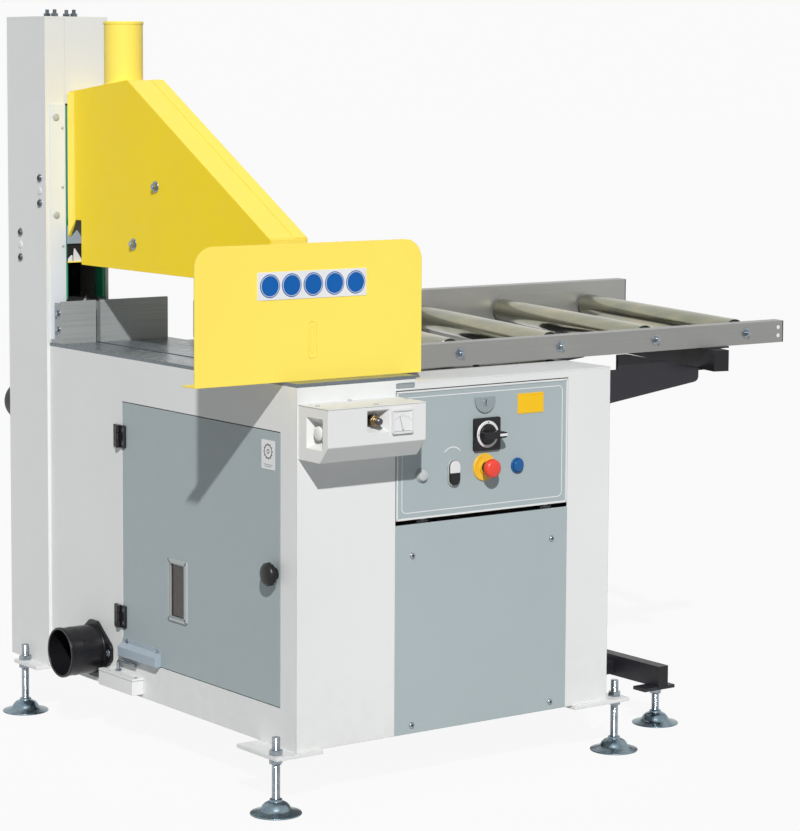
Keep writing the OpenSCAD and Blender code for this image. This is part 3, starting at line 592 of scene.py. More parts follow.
me = bpy.data.meshes.new("floor")
me.from_pydata([(x * FLOOR_HALF, y * FLOOR_HALF, 0) for x, y in ((-1, -1), (1, -1), (1, 1), (-1, 1))], [],
        [(0, 1, 2, 3)])
floor = bpy.data.objects.new("floor", me)
VIEW.collection.objects.link(floor)
me.materials.append(bpy.data.materials.new("studio_floor"))
nodes = Nodes(me.materials[0])
flat = nodes.new("BsdfDiffuse", {0: FLOOR}).outputs[0]
glow = nodes.new("Emission", {0: (1, 1, 1, 1), 1: 1.0}).outputs[0]
split(nodes, "OutputMaterial", flat, glow, 1 - SHADOW_SHARE)

# Feet: pressed plate, ball neck, threaded spindle, nuts above and below the carrying plate
FOOT_OUT, CARRIER, SPINDLE_R, SPINDLE_Z, SPINDLE_OVER = 42, 8, 9, 32, 38
PLATE_FEET = [(-FOOT_OUT, 15), (W + FOOT_OUT, 20), (W + FOOT_OUT, D - 20), (-24, D + 90)]
OUTRIGGER_FEET, OUTRIGGER_Z = [(1140, 160), (1140, 860)], ZB - 41
FOOT = [(0, 0), (54.4, 0), (55, 1.4), (54, 2.8), (46, 5.0), (38, 7.6), (33.5, 10), (31, 13.5), (28.5, 18),
        (24, 22.5), (18, 25.6), (14.2, 27), (13.6, 28.5), (13.6, 31), (11, 32.5), (0, 33)]
NUT_HIGH = 11
NUT = [(8.6, 0), (13.4, 0), (15, 1.3), (15, NUT_HIGH - 1.3), (13.4, NUT_HIGH), (8.6, NUT_HIGH)]
for i, (x, y) in enumerate(PLATE_FEET + OUTRIGGER_FEET, 1):
    on_plate = (x, y) in PLATE_FEET
    z = ZB - CARRIER if on_plate else OUTRIGGER_Z
    p = Piece(f"foot_{i}", "frame", "zinc", "feet")
    # The foot plate takes the darker zinc, whose extra dark blue is a painted reflection
    p.lathe((x, y, 0), Z, FOOT, 56, "foot_zinc")
    p.thread((x, y, SPINDLE_Z), Z, SPINDLE_R, z + CARRIER + SPINDLE_OVER - SPINDLE_Z, 2.5)
    p.lathe((x, y, z - NUT_HIGH), Z, NUT, 6, closed=True)
    if on_plate:
        p.lathe((x, y, z + CARRIER), Z, NUT, 6, closed=True)

# Small fixings on the frame: column shell, flange and top, lower panel, fence, spacers under the roller
# table's rails, shield, rail end and fence bracket
SHELL_X, FLANGE_Y = -8, D - 2
WASHER, PLUG = [(8, 0), (10.5, 0), (10.8, 0.6), (10.2, 1.4), (8, 1.4)], [(9, 0), (9, 0.9), (7.6, 1.8), (0, 2)]
SPOOL = [(0, 0), (9, 0), (9, 1.6), (6.4, 1.8), (6.4, 4.2), (9, 4.4), (9, 6), (0, 6)]
p = Piece("fixings", "frame", "zinc", "fasteners")
for y, zs, plug in ((D + 29, (387, 328), 357), (D + 125, (255, 195), 225)):
    for z in zs:
        p.screw((SHELL_X, y, T + z), -X, 8, 5, "dark_steel")
        p.lathe((SHELL_X, y, T + z), -X, WASHER, 24)
    p.lathe((SHELL_X, y, T + plug), -X, PLUG, 24, "white_plastic")
for z in (531, 301):
    p.pan((19, FLANGE_Y, T + z), -Y, 8.5, 3.4, "frame_grey")
for z in (505, 366, 227):
    p.pan((36, FLANGE_Y, T + z), -Y, 3.6, 1.6, "frame_grey")
for x, y in product((60, 112), (74, 110)):
    p.bolt((x, D + y, COL_TOP + 6), Z, 8.6, 7.4, "zinc_dark", stud=9)
for x, z in product((298, 682), (T - 388, ZB + 18)):
    p.screw((x, 0, z), -Y, 7, 3)
for x in (58, 72):
    p.bolt((x, D - 26, T + 8), Z, 6, 4.6)
for y, first in ((170, 340), (D - 33, 420)):
    for x in (first, 600, 812):
        p.lathe((x, y, T - 14), Z, SPOOL, 28, "black_plastic")
for x in (60, 250):
    p.bolt((x, 72, T + 3), Z, 7.5, 4.6)
for z in (8, 28):
    p.lathe((1512, 150, T + z), -Y, [(5.2, 0), (5, 0.8), (3.6, 1.4), (0, 1.6)], 20, "white_plastic")
for z in (32, 70):
    p.bolt((8, D - 27, T + z), -X, 7, 5)

# Column: front flange plate, given a cool tint as painted light against the hood's yellow bounce; and sheets
# behind the carriage, black as painted shade inside the column, with a dark grey strip painted as the dimly
# lit part of its right wall
SHADE_SHEETS_Z = (T + 92, T + 560)
# The flange plate takes the cool-tinted white: painted light against the yellow bounce from the hood
p = Piece("column_plate", "frame", "white_paint", look="white_cool")
p.box(2, 44.4, FLANGE_Y, D, T + 6, T + 561, 0.5)
# Black sheets put inside the column are painted shade; the dark grey strip on the right wall is painted dim
# light
p = Piece("column_shade_sheets", "frame", "black_paint")
p.box(46.2, 151.8, D + 177.2, D + 178.8, *SHADE_SHEETS_Z, 0.3)
p.box(45.1, 46.1, D + 40, D + 177, *SHADE_SHEETS_Z, 0.2)
p.box(151.9, 152.9, D + 40, D + 122, *SHADE_SHEETS_Z, 0.2, "lining_grey")
p.box(151.9, 152.9, D + 122.4, D + 177, *SHADE_SHEETS_Z, 0.2)

# Slot cover in the front strip, right of the table plate
p = Piece("front_slot", "frame", "machine_grey")
p.ring(rect(252, 301, T - 25.5, T - 14.5, 3), FRONT, 1.6, 0.9, "lock_grey")
p.prism(rect(253.4, 299.6, T - 24.1, T - 15.9, 2), FRONT, 0.4, 0)


# Two-hand box with three square funnels, lid, meter, buttons and feed valve

def funnel(axis, mouth_at, mouth, throat_at, throat):
    """Frustum cutter across the axis, from a rectangle in the open plane to a smaller one inside."""
    c = Piece("funnel", "frame", "white_paint")
    loops = []
    for s, (u0, u1, v0, v1) in ((mouth_at, mouth), (throat_at, throat)):
        loop = ((u0, v0), (u1, v0), (u1, v1), (u0, v1))
        loops.append([(s, u, v) if axis == "x" else (u, s, v) for u, v in loop])
    c.solid(*loops)
    return c


HAND_X0, HAND_X1, HAND_Y, HAND_Z0, HAND_Z1 = 2, 252, -108, T - 157, T - 42
LID, SHELL_IN = 2.4, 0.6
SIDE_MOUTH, SIDE_THROAT = (-89, -29, T - 130, T - 64), (-75, -43, T - 114, T - 80)
FRONT_MOUTH, FRONT_THROAT = (100, 157, T - 98.5, T - 51.5), (113, 144, T - 90, T - 61)
MOUTH_OVER, FUNNEL_DEEP = 0.5, 25
p = Piece("hand_box_shell", "frame", "white_paint", "hand_box")
front = HAND_Y + SHELL_IN
section = [(0, HAND_Z0), (0, HAND_Z1 - LID), (front, HAND_Z1 - LID), (front, HAND_Z0 + 35), (-76, HAND_Z0)]
p.prism(section, on_right(HAND_X0 + SHELL_IN), HAND_X1 - HAND_X0 - 2 * SHELL_IN, 1.5)
p.cut(funnel("x", HAND_X0 - MOUTH_OVER, SIDE_MOUTH, HAND_X0 + FUNNEL_DEEP, SIDE_THROAT),
      funnel("x", HAND_X1 + MOUTH_OVER, SIDE_MOUTH, HAND_X1 - FUNNEL_DEEP, SIDE_THROAT),
      funnel("y", HAND_Y - MOUTH_OVER, FRONT_MOUTH, HAND_Y + FUNNEL_DEEP - 1, FRONT_THROAT))
p.box(HAND_X0, HAND_X1, HAND_Y, 0, HAND_Z1 - LID + 0.2, HAND_Z1, 0.8)
for x, y in ((15, -52), (131, -96), (125, -10), (240, -54)):
    p.pan((x, y, HAND_Z1), Z, 4.8, 3.4, "frame_grey")
p.box(115, 142, -85.5, -83.5, T - 88, T - 63, 0.5, "dark_steel")

PUSH = [(0, -24), (6, -24), (6, 0), (13.4, 0.2), (15, 1.6), (15, 4.4), (13, 6.5), (8, 7.7), (0, 8)]
for name, x, out in (("left", HAND_X0 + 14, -X), ("right", HAND_X1 - 14, X)):
    p = Piece(f"push_{name}", f"hand_key_{name}", "white_plastic", f"{name}_button")
    p.lathe((x, -59, T - 97), out, PUSH, 36)

VALVE = (128.5, -90, T - 75)
p = Piece("feed_valve_knob", "feed_valve", "brass", "valve_knob", look="bronze")
p.rod(VALVE, -Y, 5, -18, 0, 24, "dark_steel")
p.lathe(VALVE, -Y, [(0, 0), (11.4, 0), (13, 1.2), (13, 7.2), (11.6, 8.4), (0, 8.4)], 6)
p.lathe(VALVE, -Y, [(0, 8.4), (9.4, 8.4), (9.4, 12), (8, 13), (8, 17), (0, 17)], 32)
knurl = [(0, 17)]
for k in range(5):
    knurl += [(6.4, 17 + 1.5 * k), (7.2, 17.7 + 1.5 * k)]
p.lathe(VALVE, -Y, knurl + [(6, 24.6), (4.6, 25.8), (0, 26)], 28, "dark_steel")

METER_X, METER_Z, FACE_Y = 188.5, T - 95, HAND_Y - 2.6
p = Piece("meter_case", "frame", "white_plastic", "meter")
p.ring(rect(162, 215, T - 104, T - 53, 3), on_front(HAND_Y), 4, 5)
p.prism(rect(164, 213, T - 102, T - 55, 2), on_front(HAND_Y), HAND_Y - FACE_Y, 0.3, "sign_white")
p.dial(Vector((METER_X, FACE_Y, METER_Z)), [spoke(140 - 10 * k) for k in range(11)], -Y, 26, 0.9, "ink_grey")
needle = [(METER_X + u, METER_Z + v) for u, v in ((-8.1, 27), (-6.9, 27.4), (1.1, 0), (-0.9, 0))]
p.prism(needle, on_front(HAND_Y - 3), 0.5, 0, "ink_grey")
hub = [(3.2, 0), (3.2, 1.2), (2.2, 1.8), (0, 1.9)]
p.lathe((METER_X, FACE_Y + 0.2, METER_Z - 1), -Y, hub, 20, "ink_grey")
p.box(166, 211, FACE_Y - 0.8, FACE_Y, T - 101.5, T - 98, 0.2, "frame_grey")

# Control panel
SWITCH, STOP = Vector((494.5, 0, T - 140)), Vector((490, 0, T - 212))
RESET, LAMP, LOCK = Vector((582, 0, T - 216)), Vector((321, 0, T - 216)), Vector((490, 0, T - 66))
INNER = Y * 2.5
PLATE_HALF, PLATE_THICK = 36, 6
FITTING = ("control_panel", "black_plastic", "panel_fittings")
p = Piece("panel_border", "control_panel", "white_paint")
p.ring(rect(254, 724, SILL + 2, T - 33, 2, 2), FRONT, 4.2, 1.2)
p.ring(rect(268, 710, SILL + 16, T - 47, 12), FRONT, 2.0, 0.35, "sign_white")

p = Piece("panel_switch_plate", *FITTING)
x, z = SWITCH.x, SWITCH.z
plate = rect(x - PLATE_HALF, x + PLATE_HALF, z - PLATE_HALF, z + PLATE_HALF, 4)
p.prism(plate, FRONT, PLATE_THICK, 1.2)
collar = [(22.6, 0), (22.6, 1.6), (23.4, 2.4), (28.4, 2.4), (29.4, 1.6), (29.4, 0)]
p.lathe(SWITCH - Y * PLATE_THICK, -Y, collar, 48, "white_plastic")
for a in (90, 180):
    dot = SWITCH + spoke(a) * 26 - Y * (PLATE_THICK + 2.4)
    p.lathe(dot, -Y, [(1.5, 0), (1.5, 0.3), (0, 0.35)], 12, "ink_black")
p.box(470, 519, INNER.y, 60, T - 164, T - 116, 1.5)
for y in (12, 28, 44):
    p.box(468, 521, y, y + 10, T - 168, T - 112, 1.2, "frame_grey")
p = Piece("main_switch_handle", "main_switch", "black_plastic", "switch_knob")
p.lathe(SWITCH, -Y, [(0, -40), (9, -40), (9, 6.6), (21.8, 6.8), (22, 8), (22, 11), (20.6, 12.6), (0, 13)], 44)
side = [(-25.5, 6.5), (-21.5, 8), (5.5, 9), (23.5, 8.4), (30.5, 6.2)]
grip = [(u, -v) for u, v in side] + [(32.5, 0)] + side[::-1]
p.solid([(SWITCH.x + u, -12, SWITCH.z + v) for u, v in grip],
        [(SWITCH.x + u * 1.04, -35, SWITCH.z + v * 0.84) for u, v in grip], 1.4)
p.box(507, 527, -35.6, -34.6, SWITCH.z - 2.8, SWITCH.z + 2.8, 0.3, "sign_white")

p = Piece("panel_stop_plate", *FITTING)
p.lathe(STOP, -Y, [(12.2, 0), (30, 0), (30, 2.6), (28.8, 3.9), (15.8, 4), (15.4, 8.5), (12.2, 8.5)], 52,
        "stop_yellow", True)
p.lathe(STOP + INNER, Y, [(12.3, 0), (20, 0), (20, 8), (17, 9), (17, 55), (0, 57)], 32)
p = Piece("stop_mushroom", "emergency_stop", "red_plastic", "estop_head")
p.rod(STOP, -Y, 11.8, -46, 17.4, 40, "black_plastic")
p.lathe(STOP, -Y, [(0, 17), (13.4, 17), (14.6, 17.8), (15.4, 20), (18.6, 22.6), (20.3, 26), (20.5, 31),
        (19.5, 35.4), (16.6, 38.2), (11, 39.7), (0, 40)], 48)

p = Piece("panel_reset_rim", *FITTING)
rim = [(14, 0), (17.4, 0), (17.4, 2.4), (16.6, 3.6), (15, 4.1), (14, 4.1)]
p.lathe(RESET, -Y, rim, 36, "blue_plastic", True)
p.lathe(RESET + INNER, Y, [(11.2, 0), (18, 0), (18, 7), (15, 8), (15, 50), (0, 52)], 28)
p = Piece("reset_dome", "reset_key", "blue_plastic", "reset_button")
p.lathe(RESET, -Y, [(0, -40), (10.8, -40), (10.8, 4.4), (13.3, 4.5), (13.6, 5.0), (13.5, 7.2), (12.4, 8.4),
        (9, 8.9), (0, 9)], 36)

p = Piece("panel_lamp", *FITTING)
p.lathe(LAMP, -Y, [(0, 0), (15, 0), (15, 2.4), (14, 3.8), (12.6, 4), (12.6, 4.2)], 36, "frame_grey")
p.lathe(LAMP, -Y, [(12.6, 3.8), (12.4, 6.6), (10.8, 8.8), (7, 9.8), (0, 10)], 36, "lamp_grey")
p.lathe(LAMP + INNER, Y, [(0, 0), (12, 0), (12, 40), (0, 42)], 24)

KEY_X, KEY_FACE, KEY_HALF = 406, -5.5, 13
p = Piece("panel_key_bezel", *FITTING)
p.ring(rect(KEY_X - 16.5, KEY_X + 16.5, T - 247, T - 188, 16, 10), FRONT, 2.6, 4.2, "frame_grey")
p.prism(rect(KEY_X - 15, KEY_X + 15, T - 245.5, T - 189.5, 14.6, 10), FRONT, 1.2, 0)
p.box(KEY_X - 14, KEY_X + 14, INNER.y, 50, T - 242, T - 194, 1.5)
for name, s, flat, end, stem, look in (("start", 1, 217.6, 191, 206, "white_plastic"),
                                       ("stop", -1, 218.4, 244, 229, "black_plastic")):
    half = arc(KEY_X, T - end - s * KEY_HALF, KEY_HALF, [s * a for a in range(0, 181, 15)])
    half += [(KEY_X - KEY_HALF, T - flat), (KEY_X + KEY_HALF, T - flat)]
    p = Piece(f"{name}_half", f"{name}_key", look, f"{name}_button")
    p.prism(half[::s], on_front(KEY_FACE), 3.4, 0.9)
    p.rod((KEY_X, KEY_FACE - 0.2, T - stem), Y, 6.8, 0, 41.7, 24, "black_plastic")

p = Piece("panel_marks", *FITTING)
lock_plate = [(463, T - 59)] + arc(LOCK.x, LOCK.z, 27, range(-180, 1, 12)) + [(517, T - 59)]
p.prism(lock_plate, FRONT, 4.4, 0.9, "lock_grey")
p.lathe((LOCK.x, -4.4, T - 70), -Y, [(9, 0), (9, 0.8), (7.6, 1.3), (0, 1.4)], 28, "zinc")
p.box(LOCK.x - 1.2, LOCK.x + 1.2, -6.2, -5.6, T - 76, T - 64, 0.2, "ink_black")
p.prism(rect(582, 655, T - 103, T - 58, 2, 2), FRONT, 0.8, 0.2, "label_yellow")
p.ring(rect(584.5, 652.5, T - 100.5, T - 60.5, 1.5, 2), on_front(-0.8), 1.4, 0.2, "stop_yellow")
bow = arc(404, T - 190, 27, range(38, 143, 7)) + arc(404, T - 190, 29.4, range(142, 37, -7))
p.prism(bow[::-1], FRONT, 0.35, 0, "sign_white")

# Left side: hinges, window, knob, label, interlock, extraction spout
HINGE_Z, PIN_X, PIN_Y, LEAF_HALF, LEAF_THICK = (T - 187, T - 602), -6, 716, 26, 4.4
PANEL_PIN = Vector((0, 4, T - 316))
PANEL_KNUCKLE = [(0, 0), (3.2, 0), (3.4, 0.3), (3.4, 7.7), (3.2, 8), (0, 8)]
DOOR_KNUCKLE = [(3.6, 0), (5.2, 0), (6, 0.8), (6, 16.4), (5.2, 17.2), (3.6, 17.2)]


def leaf(piece, y0, y1, screw_y, z):
    """One hinge leaf on the left side, with its two screws."""
    outline = rect(-y1, -y0, z - LEAF_HALF, z + LEAF_HALF, 3, 4)
    piece.prism(outline, on_left(0), LEAF_THICK, 1.0)
    for s in (-1, 1):
        piece.screw((0.2 - LEAF_THICK, screw_y, z + 15 * s), -X, 4.2, 1.4, "dark_steel")


p = Piece("hinge_leaves", "frame", "black_plastic", "hinges")
for z in HINGE_Z:
    leaf(p, 721, 740, 731, z)
    for z0 in (z - LEAF_HALF, z + 9):
        p.lathe((PIN_X, PIN_Y, z0), Z, [(0, 0), (5.2, 0), (6, 0.8), (6, 16.2), (5.2, 17), (0, 17)], 28)
        p.box(PIN_X - 5, -0.4, PIN_Y + 1, PIN_Y + 7, z0 + 0.5, z0 + 16.5)
for x in (310, 650):
    pin = PANEL_PIN + X * x
    for s in (0, 22):
        p.lathe(pin + X * s, X, PANEL_KNUCKLE, 20, "black_paint")
    p.rod(pin, X, 2, 0, 30, 16, "black_paint")
    p.box(x, x + 8, 3, 9, T - 350, T - 318, 0.5, "black_paint")
p = Piece("door_leaves", "side_door", "black_plastic", "door_trim")
for z in HINGE_Z:
    leaf(p, 690, 711, 700, z)
    p.lathe((PIN_X, PIN_Y, z - 8.6), Z, DOOR_KNUCKLE, 28, closed=True)
    p.box(PIN_X - 5, -1, PIN_Y - 8, PIN_Y - 4.4, z - 8.4, z + 8.4)

p = Piece("door_window", "side_door", "aluminium", "door_trim")
p.ring(rect(-506, -427, T - 575, T - 436, 5), on_left(0), 10, 4, "frame_grey")
p.ring(rect(-498.5, -434.5, T - 567.5, T - 443.5, 3), on_left(-3.2), 3, 1.6, "lock_grey")
for y, z in product((432, 501), (T - 570, T - 441)):
    p.screw((-4, y, z), -X, 2.6, 1.0)

KNOB = Vector((0, 80, T - 407))
RIB = [(0, 0), (1.5, 0.6), (1.7, 2), (1.7, 8.5), (1.4, 9.8), (0, 10.4)]
p = Piece("door_turn_knob", "door_latch", "black_plastic", "door_knob")
p.lathe(KNOB, -X, [(0, -9), (7.8, -9), (7.8, 0.4), (13, 0.6), (13, 3), (10.5, 4.5), (9, 7), (10, 9),
        (17, 9.8), (22, 11.6), (24, 15), (24, 21), (22.4, 25.2), (18, 28.2), (10, 29.7), (0, 30)], 48)
for a in range(0, 360, 30):
    p.lathe(KNOB - X * 12.6 + spoke(a, Y) * 23.6, -X, RIB, 10)
p.box(6.5, 10, 70, 90, T - 453, T - 403, 0.8, "zinc")

# The door's label carries a toothed wheel and two lines
WHEEL = Vector((-107.5, T - 152))
LABEL, INK = 0.6, 0.2
p = Piece("door_label", "side_door", "white_plastic")
p.prism(rect(-133, -82, T - 190, T - 128, 2, 3), on_left(0), LABEL, 0.15, "sign_white")
p.ring(arc(*WHEEL, 15, range(0, 360, 12)), on_left(-LABEL), 2.0, INK, "ink_black")
for a in range(0, 360, 30):
    c, q = (Vector(k) for k in arc(0, 0, 1, (a, a + 90)))
    tooth = [WHEEL + c * 14.6 - q * 2, WHEEL + c * 14.6 + q * 2, WHEEL + c * 18.2 + q * 2]
    p.prism(tooth, on_left(-LABEL), INK, 0, "ink_black")
p.ring(arc(*WHEEL, 5, range(0, 360, 24)), on_left(-LABEL), 1.6, INK, "ink_black")
for half, z in ((17, T - 180.4), (13, T - 184.4)):
    line = rect(WHEEL.x - half, WHEEL.x + half, z, z + 1.4, 0.5, 2)
    p.prism(line, on_left(-LABEL), INK, 0, "lock_grey")

p = Piece("door_interlock_cover", "side_door", "machine_grey", "door_trim", look="cover_blue")
section = [(650, 0), (650, -1.8), (661, -1.8), (667, -14.6), (669, -16), (690, -16), (690, 0)]
p.prism([(T - z, x) for z, x in section], ((0, 541, 0), Z, X), 165, 0.7)
for y in (554, 686):
    p.bolt((-1.8, y, T - 655.5), -X, 3.6, 2.4)
LID_Z, ROD_X, ROD_R, BEND_R = ZB + 46, -8, 4, 9
p = Piece("interlock_switch", "frame", "white_plastic", "interlock")
p.box(-30, 0, 618, 768, ZB + 8, ZB + 40, 1.6)
p.box(-30, 0, 617.4, 768.6, ZB + 40.6, LID_Z, 1.4)
for y in (626, 760):
    p.screw((-15, y, LID_Z), Z, 3.4, 1.6)
p.lathe((-15, 768.4, ZB + 24), Y, [(0, 0), (9, 0), (9, 5), (7.4, 5.6), (7.4, 12), (5, 14), (0, 14)], 6,
        "black_plastic")
p = Piece("interlock_rod", "frame", "zinc", "interlock")
bend_z = LID_Z + 16
route = [(PIN_Y, LID_Z), (PIN_Y, bend_z)] + arc(PIN_Y - BEND_R, bend_z, BEND_R, range(15, 91, 15))
route += [(644, bend_z + BEND_R), (640, bend_z + BEND_R)]
p.tube([(ROD_X, y, z) for y, z in route], ROD_R)
p.lathe((ROD_X, PIN_Y, LID_Z), Z, [(ROD_R, 0), (8, 0), (8, 3), (6.5, 4.4), (ROD_R, 4.4)], 6, closed=True)

SPOUT = Vector((0, D - 207, ZB + 78))
FLANGE = 8
p = Piece("spout_flange", "frame", "black_plastic", "lower_spout")
half = [(82, -12), (82, 12), (78, 20), (18, 65), (14, 66), (-14, 66), (-18, 65), (-78, 20)]
outline = half + [(-u, -v) for u, v in half]
p.prism([(u - SPOUT.y, v + SPOUT.z) for u, v in outline], on_left(0), FLANGE, 1.4)
bore = Piece("bore", "frame", "black_plastic")
bore.rod(SPOUT + X * 2, -X, 52.2, 0, 14, 64)
p.cut(bore)
for s in (-69, 69):
    p.bolt(SPOUT - X * FLANGE + Y * s, -X, 6.4, 4)
p = Piece("spout_pipe", "frame", "black_plastic", "lower_spout")
p.lathe(SPOUT, -X, [(52, 0), (57.4, 8), (56, 10), (56, 60), (56.6, 61), (56.6, 64), (56, 65), (56, 85),
        (57.6, 86.4), (58, 88.5), (58, 93.4), (57, 95), (53, 95), (52, 93.6)], 64, closed=True)
for a in (35, 125):
    d, q = spoke(a, Y) * 51.8, spoke(a + 90, Y) * 5
    loop = [SPOUT - X * 34 + k for k in (d + q, d - q, -d - q, q - d)]
    p.solid(loop, [k - X * 2.5 for k in loop], 0.4, "dark_steel")
p.bolt(SPOUT - X * 36.5, -X, 6, 4)

# Hood: folded rear edge, lapped strips on the slope, bolts, weld and rolled rim on the spout
RIDGE, HOOD_TOP = Vector((0, 768, T + 619)), T + 588
SLOPE, LIFT = Vector((0, -588, -333)).normalized(), Vector((0, -333, 588)).normalized()
CHUTE_X, CHUTE_Y, CHUTE_R, FALL = 100, 863, 45, 29 / 265
# The hood's trim takes the paler yellow copy: painted light on faces turned to the light
p = Piece("hood_trim", "hood", "yellow_paint", look="yellow_pale")
for x, s in ((52, -1), (148, 1)):
    out, top = x + s * 5, HOOD_TOP - 2.5
    p.solid([(x, 1008, T + 288), (out, 1031, T + 253), (out, 1033, T + 250), (x, 1033, T + 250)],
            [(x, 1008, HOOD_TOP), (out, 1031, top), (out, 1033, top), (x, 1033, HOOD_TOP)], 0.4)
    for y, z in ((644, 381), (741, 247)):
        p.bolt((x, y, T + z), X * s, 9.5, 6, stud=3)
for x0, x1, s0, s1, high in ((52.4, 115.5, 3, 672, 0.5), (116.5, 147.6, 1, 674, 2.0)):
    loop = [RIDGE + SLOPE * s + X * x for s, x in ((s0, x0), (s0, x1), (s1, x1), (s1, x0))]
    p.solid(loop, [k + LIFT * high for k in loop], 0.4)
weld = arc(CHUTE_X, CHUTE_Y, CHUTE_R + 0.6, [360 * j / 48 for j in range(49)])
p.tube([(x, y, RIDGE.z - (y - RIDGE.y) * FALL + 0.6) for x, y in weld], 2.4, 10)
p.lathe((CHUTE_X, CHUTE_Y, T + 745), Z, [(CHUTE_R, 0), (46.2, 1.5), (46.4, 4), (46, 6.8), (44.6, 8),
        (43.2, 7.2), (42.6, 5.5), (42.6, 0)], 56, closed=True)

p = Piece("carriage_gusset", "hood", "white_paint")
for pts in ([(62.5, 190), (86, 190), (86, 192), (67, 220), (64.5, 220), (62.5, 204)],
            [(48, 190), (60, 190), (60, 203), (57, 205), (51, 198), (48, 196)]):
    p.prism([(x, T + z) for x, z in pts], on_front(D - 3), 2, 0.4)
# The hood's rear lip takes the paler yellow copy: painted light
p.box(47, 136, D - 7, D - 3.2, T + 187, T + 190.5, 0.5, "yellow_pale")
# A black sheet behind the gussets: painted shade for the shadowed gap at the hood's rear
p.box(47, 136, D - 3, D - 1.4, T + 187, T + 240, 0.3, "black_paint")

# Shield: sign strip with plain discs, and the covered adjuster slot
SHIELD_Y, STRIP, DISC_Z = 44, 1.1, T + 201
p = Piece("sign_strip", "frame", "white_plastic", "shield_strip", look="sign_white")
p.prism(rect(-70, 205, T + 172, T + 230, 2, 3), on_front(SHIELD_Y), STRIP, 0.25)
for j in range(5):
    x = -39 + 54 * j
    p.lathe((x, SHIELD_Y - STRIP, DISC_Z), -Y, [(0, 0), (24.6, 0), (24.4, 0.4), (0, 0.45)], 56, "sign_blue")
    p.ring(arc(x, DISC_Z, 22.4, range(0, 360, 8)), on_front(SHIELD_Y - 1.5), 1.1, 0.3)
# The slot's rings take the paler yellow copy: painted light
p = Piece("shield_slot", "frame", "yellow_paint", look="yellow_pale")
p.ring(rect(55, 78, T + 46, T + 125, 11), on_front(SHIELD_Y), 1.6, 0.7)
p.ring(rect(61, 72, T + 58, T + 113, 5.4), on_front(SHIELD_Y), 1.2, 0.5)

# Roller table: rollers, axles, their nuts and bolts
ROLL_X, PITCH_X, RAIL_Y, RAIL_WIDE, GUIDE_Y, AXLE_Z = 538, 289, 150, 40, D - 55, T + 20
AXLE_R, ROLL_GAP = 8, 14
AXLE_L = (GUIDE_Y - RAIL_Y) / cos(SKEW)
TUBE_0 = RAIL_WIDE / cos(SKEW) + ROLL_GAP
TUBE_L = AXLE_L - ROLL_GAP - TUBE_0
ROLL_LIP = [(25.4, 3.5), (26, 0.4), (27.6, 0), (28.6, 0.5), (29, 1.6)]
ROLL_END = [(25.4, 3.5), (19, 3.0), (18, 1.8), (14.6, 1.6), (13.6, 2.6), (8.4, 2.6), (8.4, 8)]
starts = [Vector((ROLL_X + PITCH_X * i, RAIL_Y, AXLE_Z)) for i in range(4)]
for i, o in enumerate(starts, 1):
    near, far = o + ALONG * TUBE_0, o + ALONG * (TUBE_0 + TUBE_L)
    p = Piece(f"roll_tube_{i}", f"roll_{i}", "yellow_zinc", f"roller_{i}")
    p.lathe(near, ALONG, ROLL_LIP + [(r, TUBE_L - s) for r, s in ROLL_LIP[::-1]], 56)
    p.lathe(near, ALONG, ROLL_END, 40, "dark_steel")
    p.lathe(far, -ALONG, ROLL_END, 40, "dark_steel")
p = Piece("roller_axles", "frame", "zinc", "axles")
for o in starts:
    p.rod(o, ALONG, AXLE_R, 1, AXLE_L + 3)
    for s in (TUBE_0 - 11, AXLE_L - 8):
        p.lathe(o, ALONG, [(AXLE_R, s), (13, s), (13, s + 5), (AXLE_R, s + 5)], 6, closed=True)
    p.bolt(o, -Y, 9, 6.5, stud=5)

# Pressure gauge with its hose fitting, on the back of the column
GAUGE, GLASS, FITTING_IN = Vector((47, COL_BACK, T - 163)), 47, 25
p = Piece("air_gauge", "frame", "black_plastic", "air_unit")
p.lathe(GAUGE, Y, [(0, 0), (38, 0), (43, 1.5), (46, 5), (47, 10), (47, 41), (46, 46), (43, 49.2), (39.5, 50),
        (38.2, 49.2), (37.6, GLASS), (0, GLASS)], 64)
p.lathe(GAUGE + Y * GLASS, Y, [(37.4, 0), (37.4, 0.6), (0, 0.7)], 64, "sign_white")
p.dial(GAUGE + Y * (GLASS + 0.7), [spoke(225 - 13.5 * k, -X) for k in range(21)], Y, 27, 1.0, "ink_black")
needle = Vector((0.6, 0, 0.8))
p.mark(GAUGE + Y * (GLASS + 1.2) - needle * 8, needle, Y, 34, 1.6, "ink_black")
p.lathe(GAUGE + Y * (GLASS + 0.6), Y, [(4, 0), (4, 1.4), (3, 2), (0, 2.1)], 20, "ink_black")
fitting = GAUGE + Y * FITTING_IN
hexagon = [(0, 0), (13.2, 0), (14, 1), (14, 19), (13.2, 20), (0, 20)]
p.lathe(fitting - Z * 39, -Z, hexagon, 6, "brass")
p.lathe(fitting - Z * 59, -Z, [(9, 0), (9, 5), (7.4, 5.6), (8.6, 8), (7.4, 8.6), (8.6, 11), (7.4, 11.6),
        (7.4, 15), (4, 15), (4, 2)], 28, "brass", True)

# Saw unit inside the cabinet: motor, blade tips, lift cylinder
ARM_L = D - 560
MOT_X, MOT_D, MOT_H, MOT_L = 345, ARM_L * 0.375, 45, 245
TIPS, BLADE_X, TIP_HALF = 60, 100, 2.5


def arm_box(piece, x0, x1, d, h0, h1, soft=1.0):
    """A block square to the saw arm: x across, d to each side of the motor, h above the arm's axis."""
    corners = ((x0, MOT_D - d, h0), (x1, MOT_D - d, h0), (x1, MOT_D + d, h0), (x0, MOT_D + d, h0))
    base = [arm_point(k) for k in corners]
    piece.solid(base, [k + ARM_Z * (h1 - h0) for k in base], soft)


def on_disc(x, r, a):
    """A point on the blade's disc, by radius and degrees."""
    a = radians(a)
    return arm_point((x, ARM_L + r * cos(a), r * sin(a)))


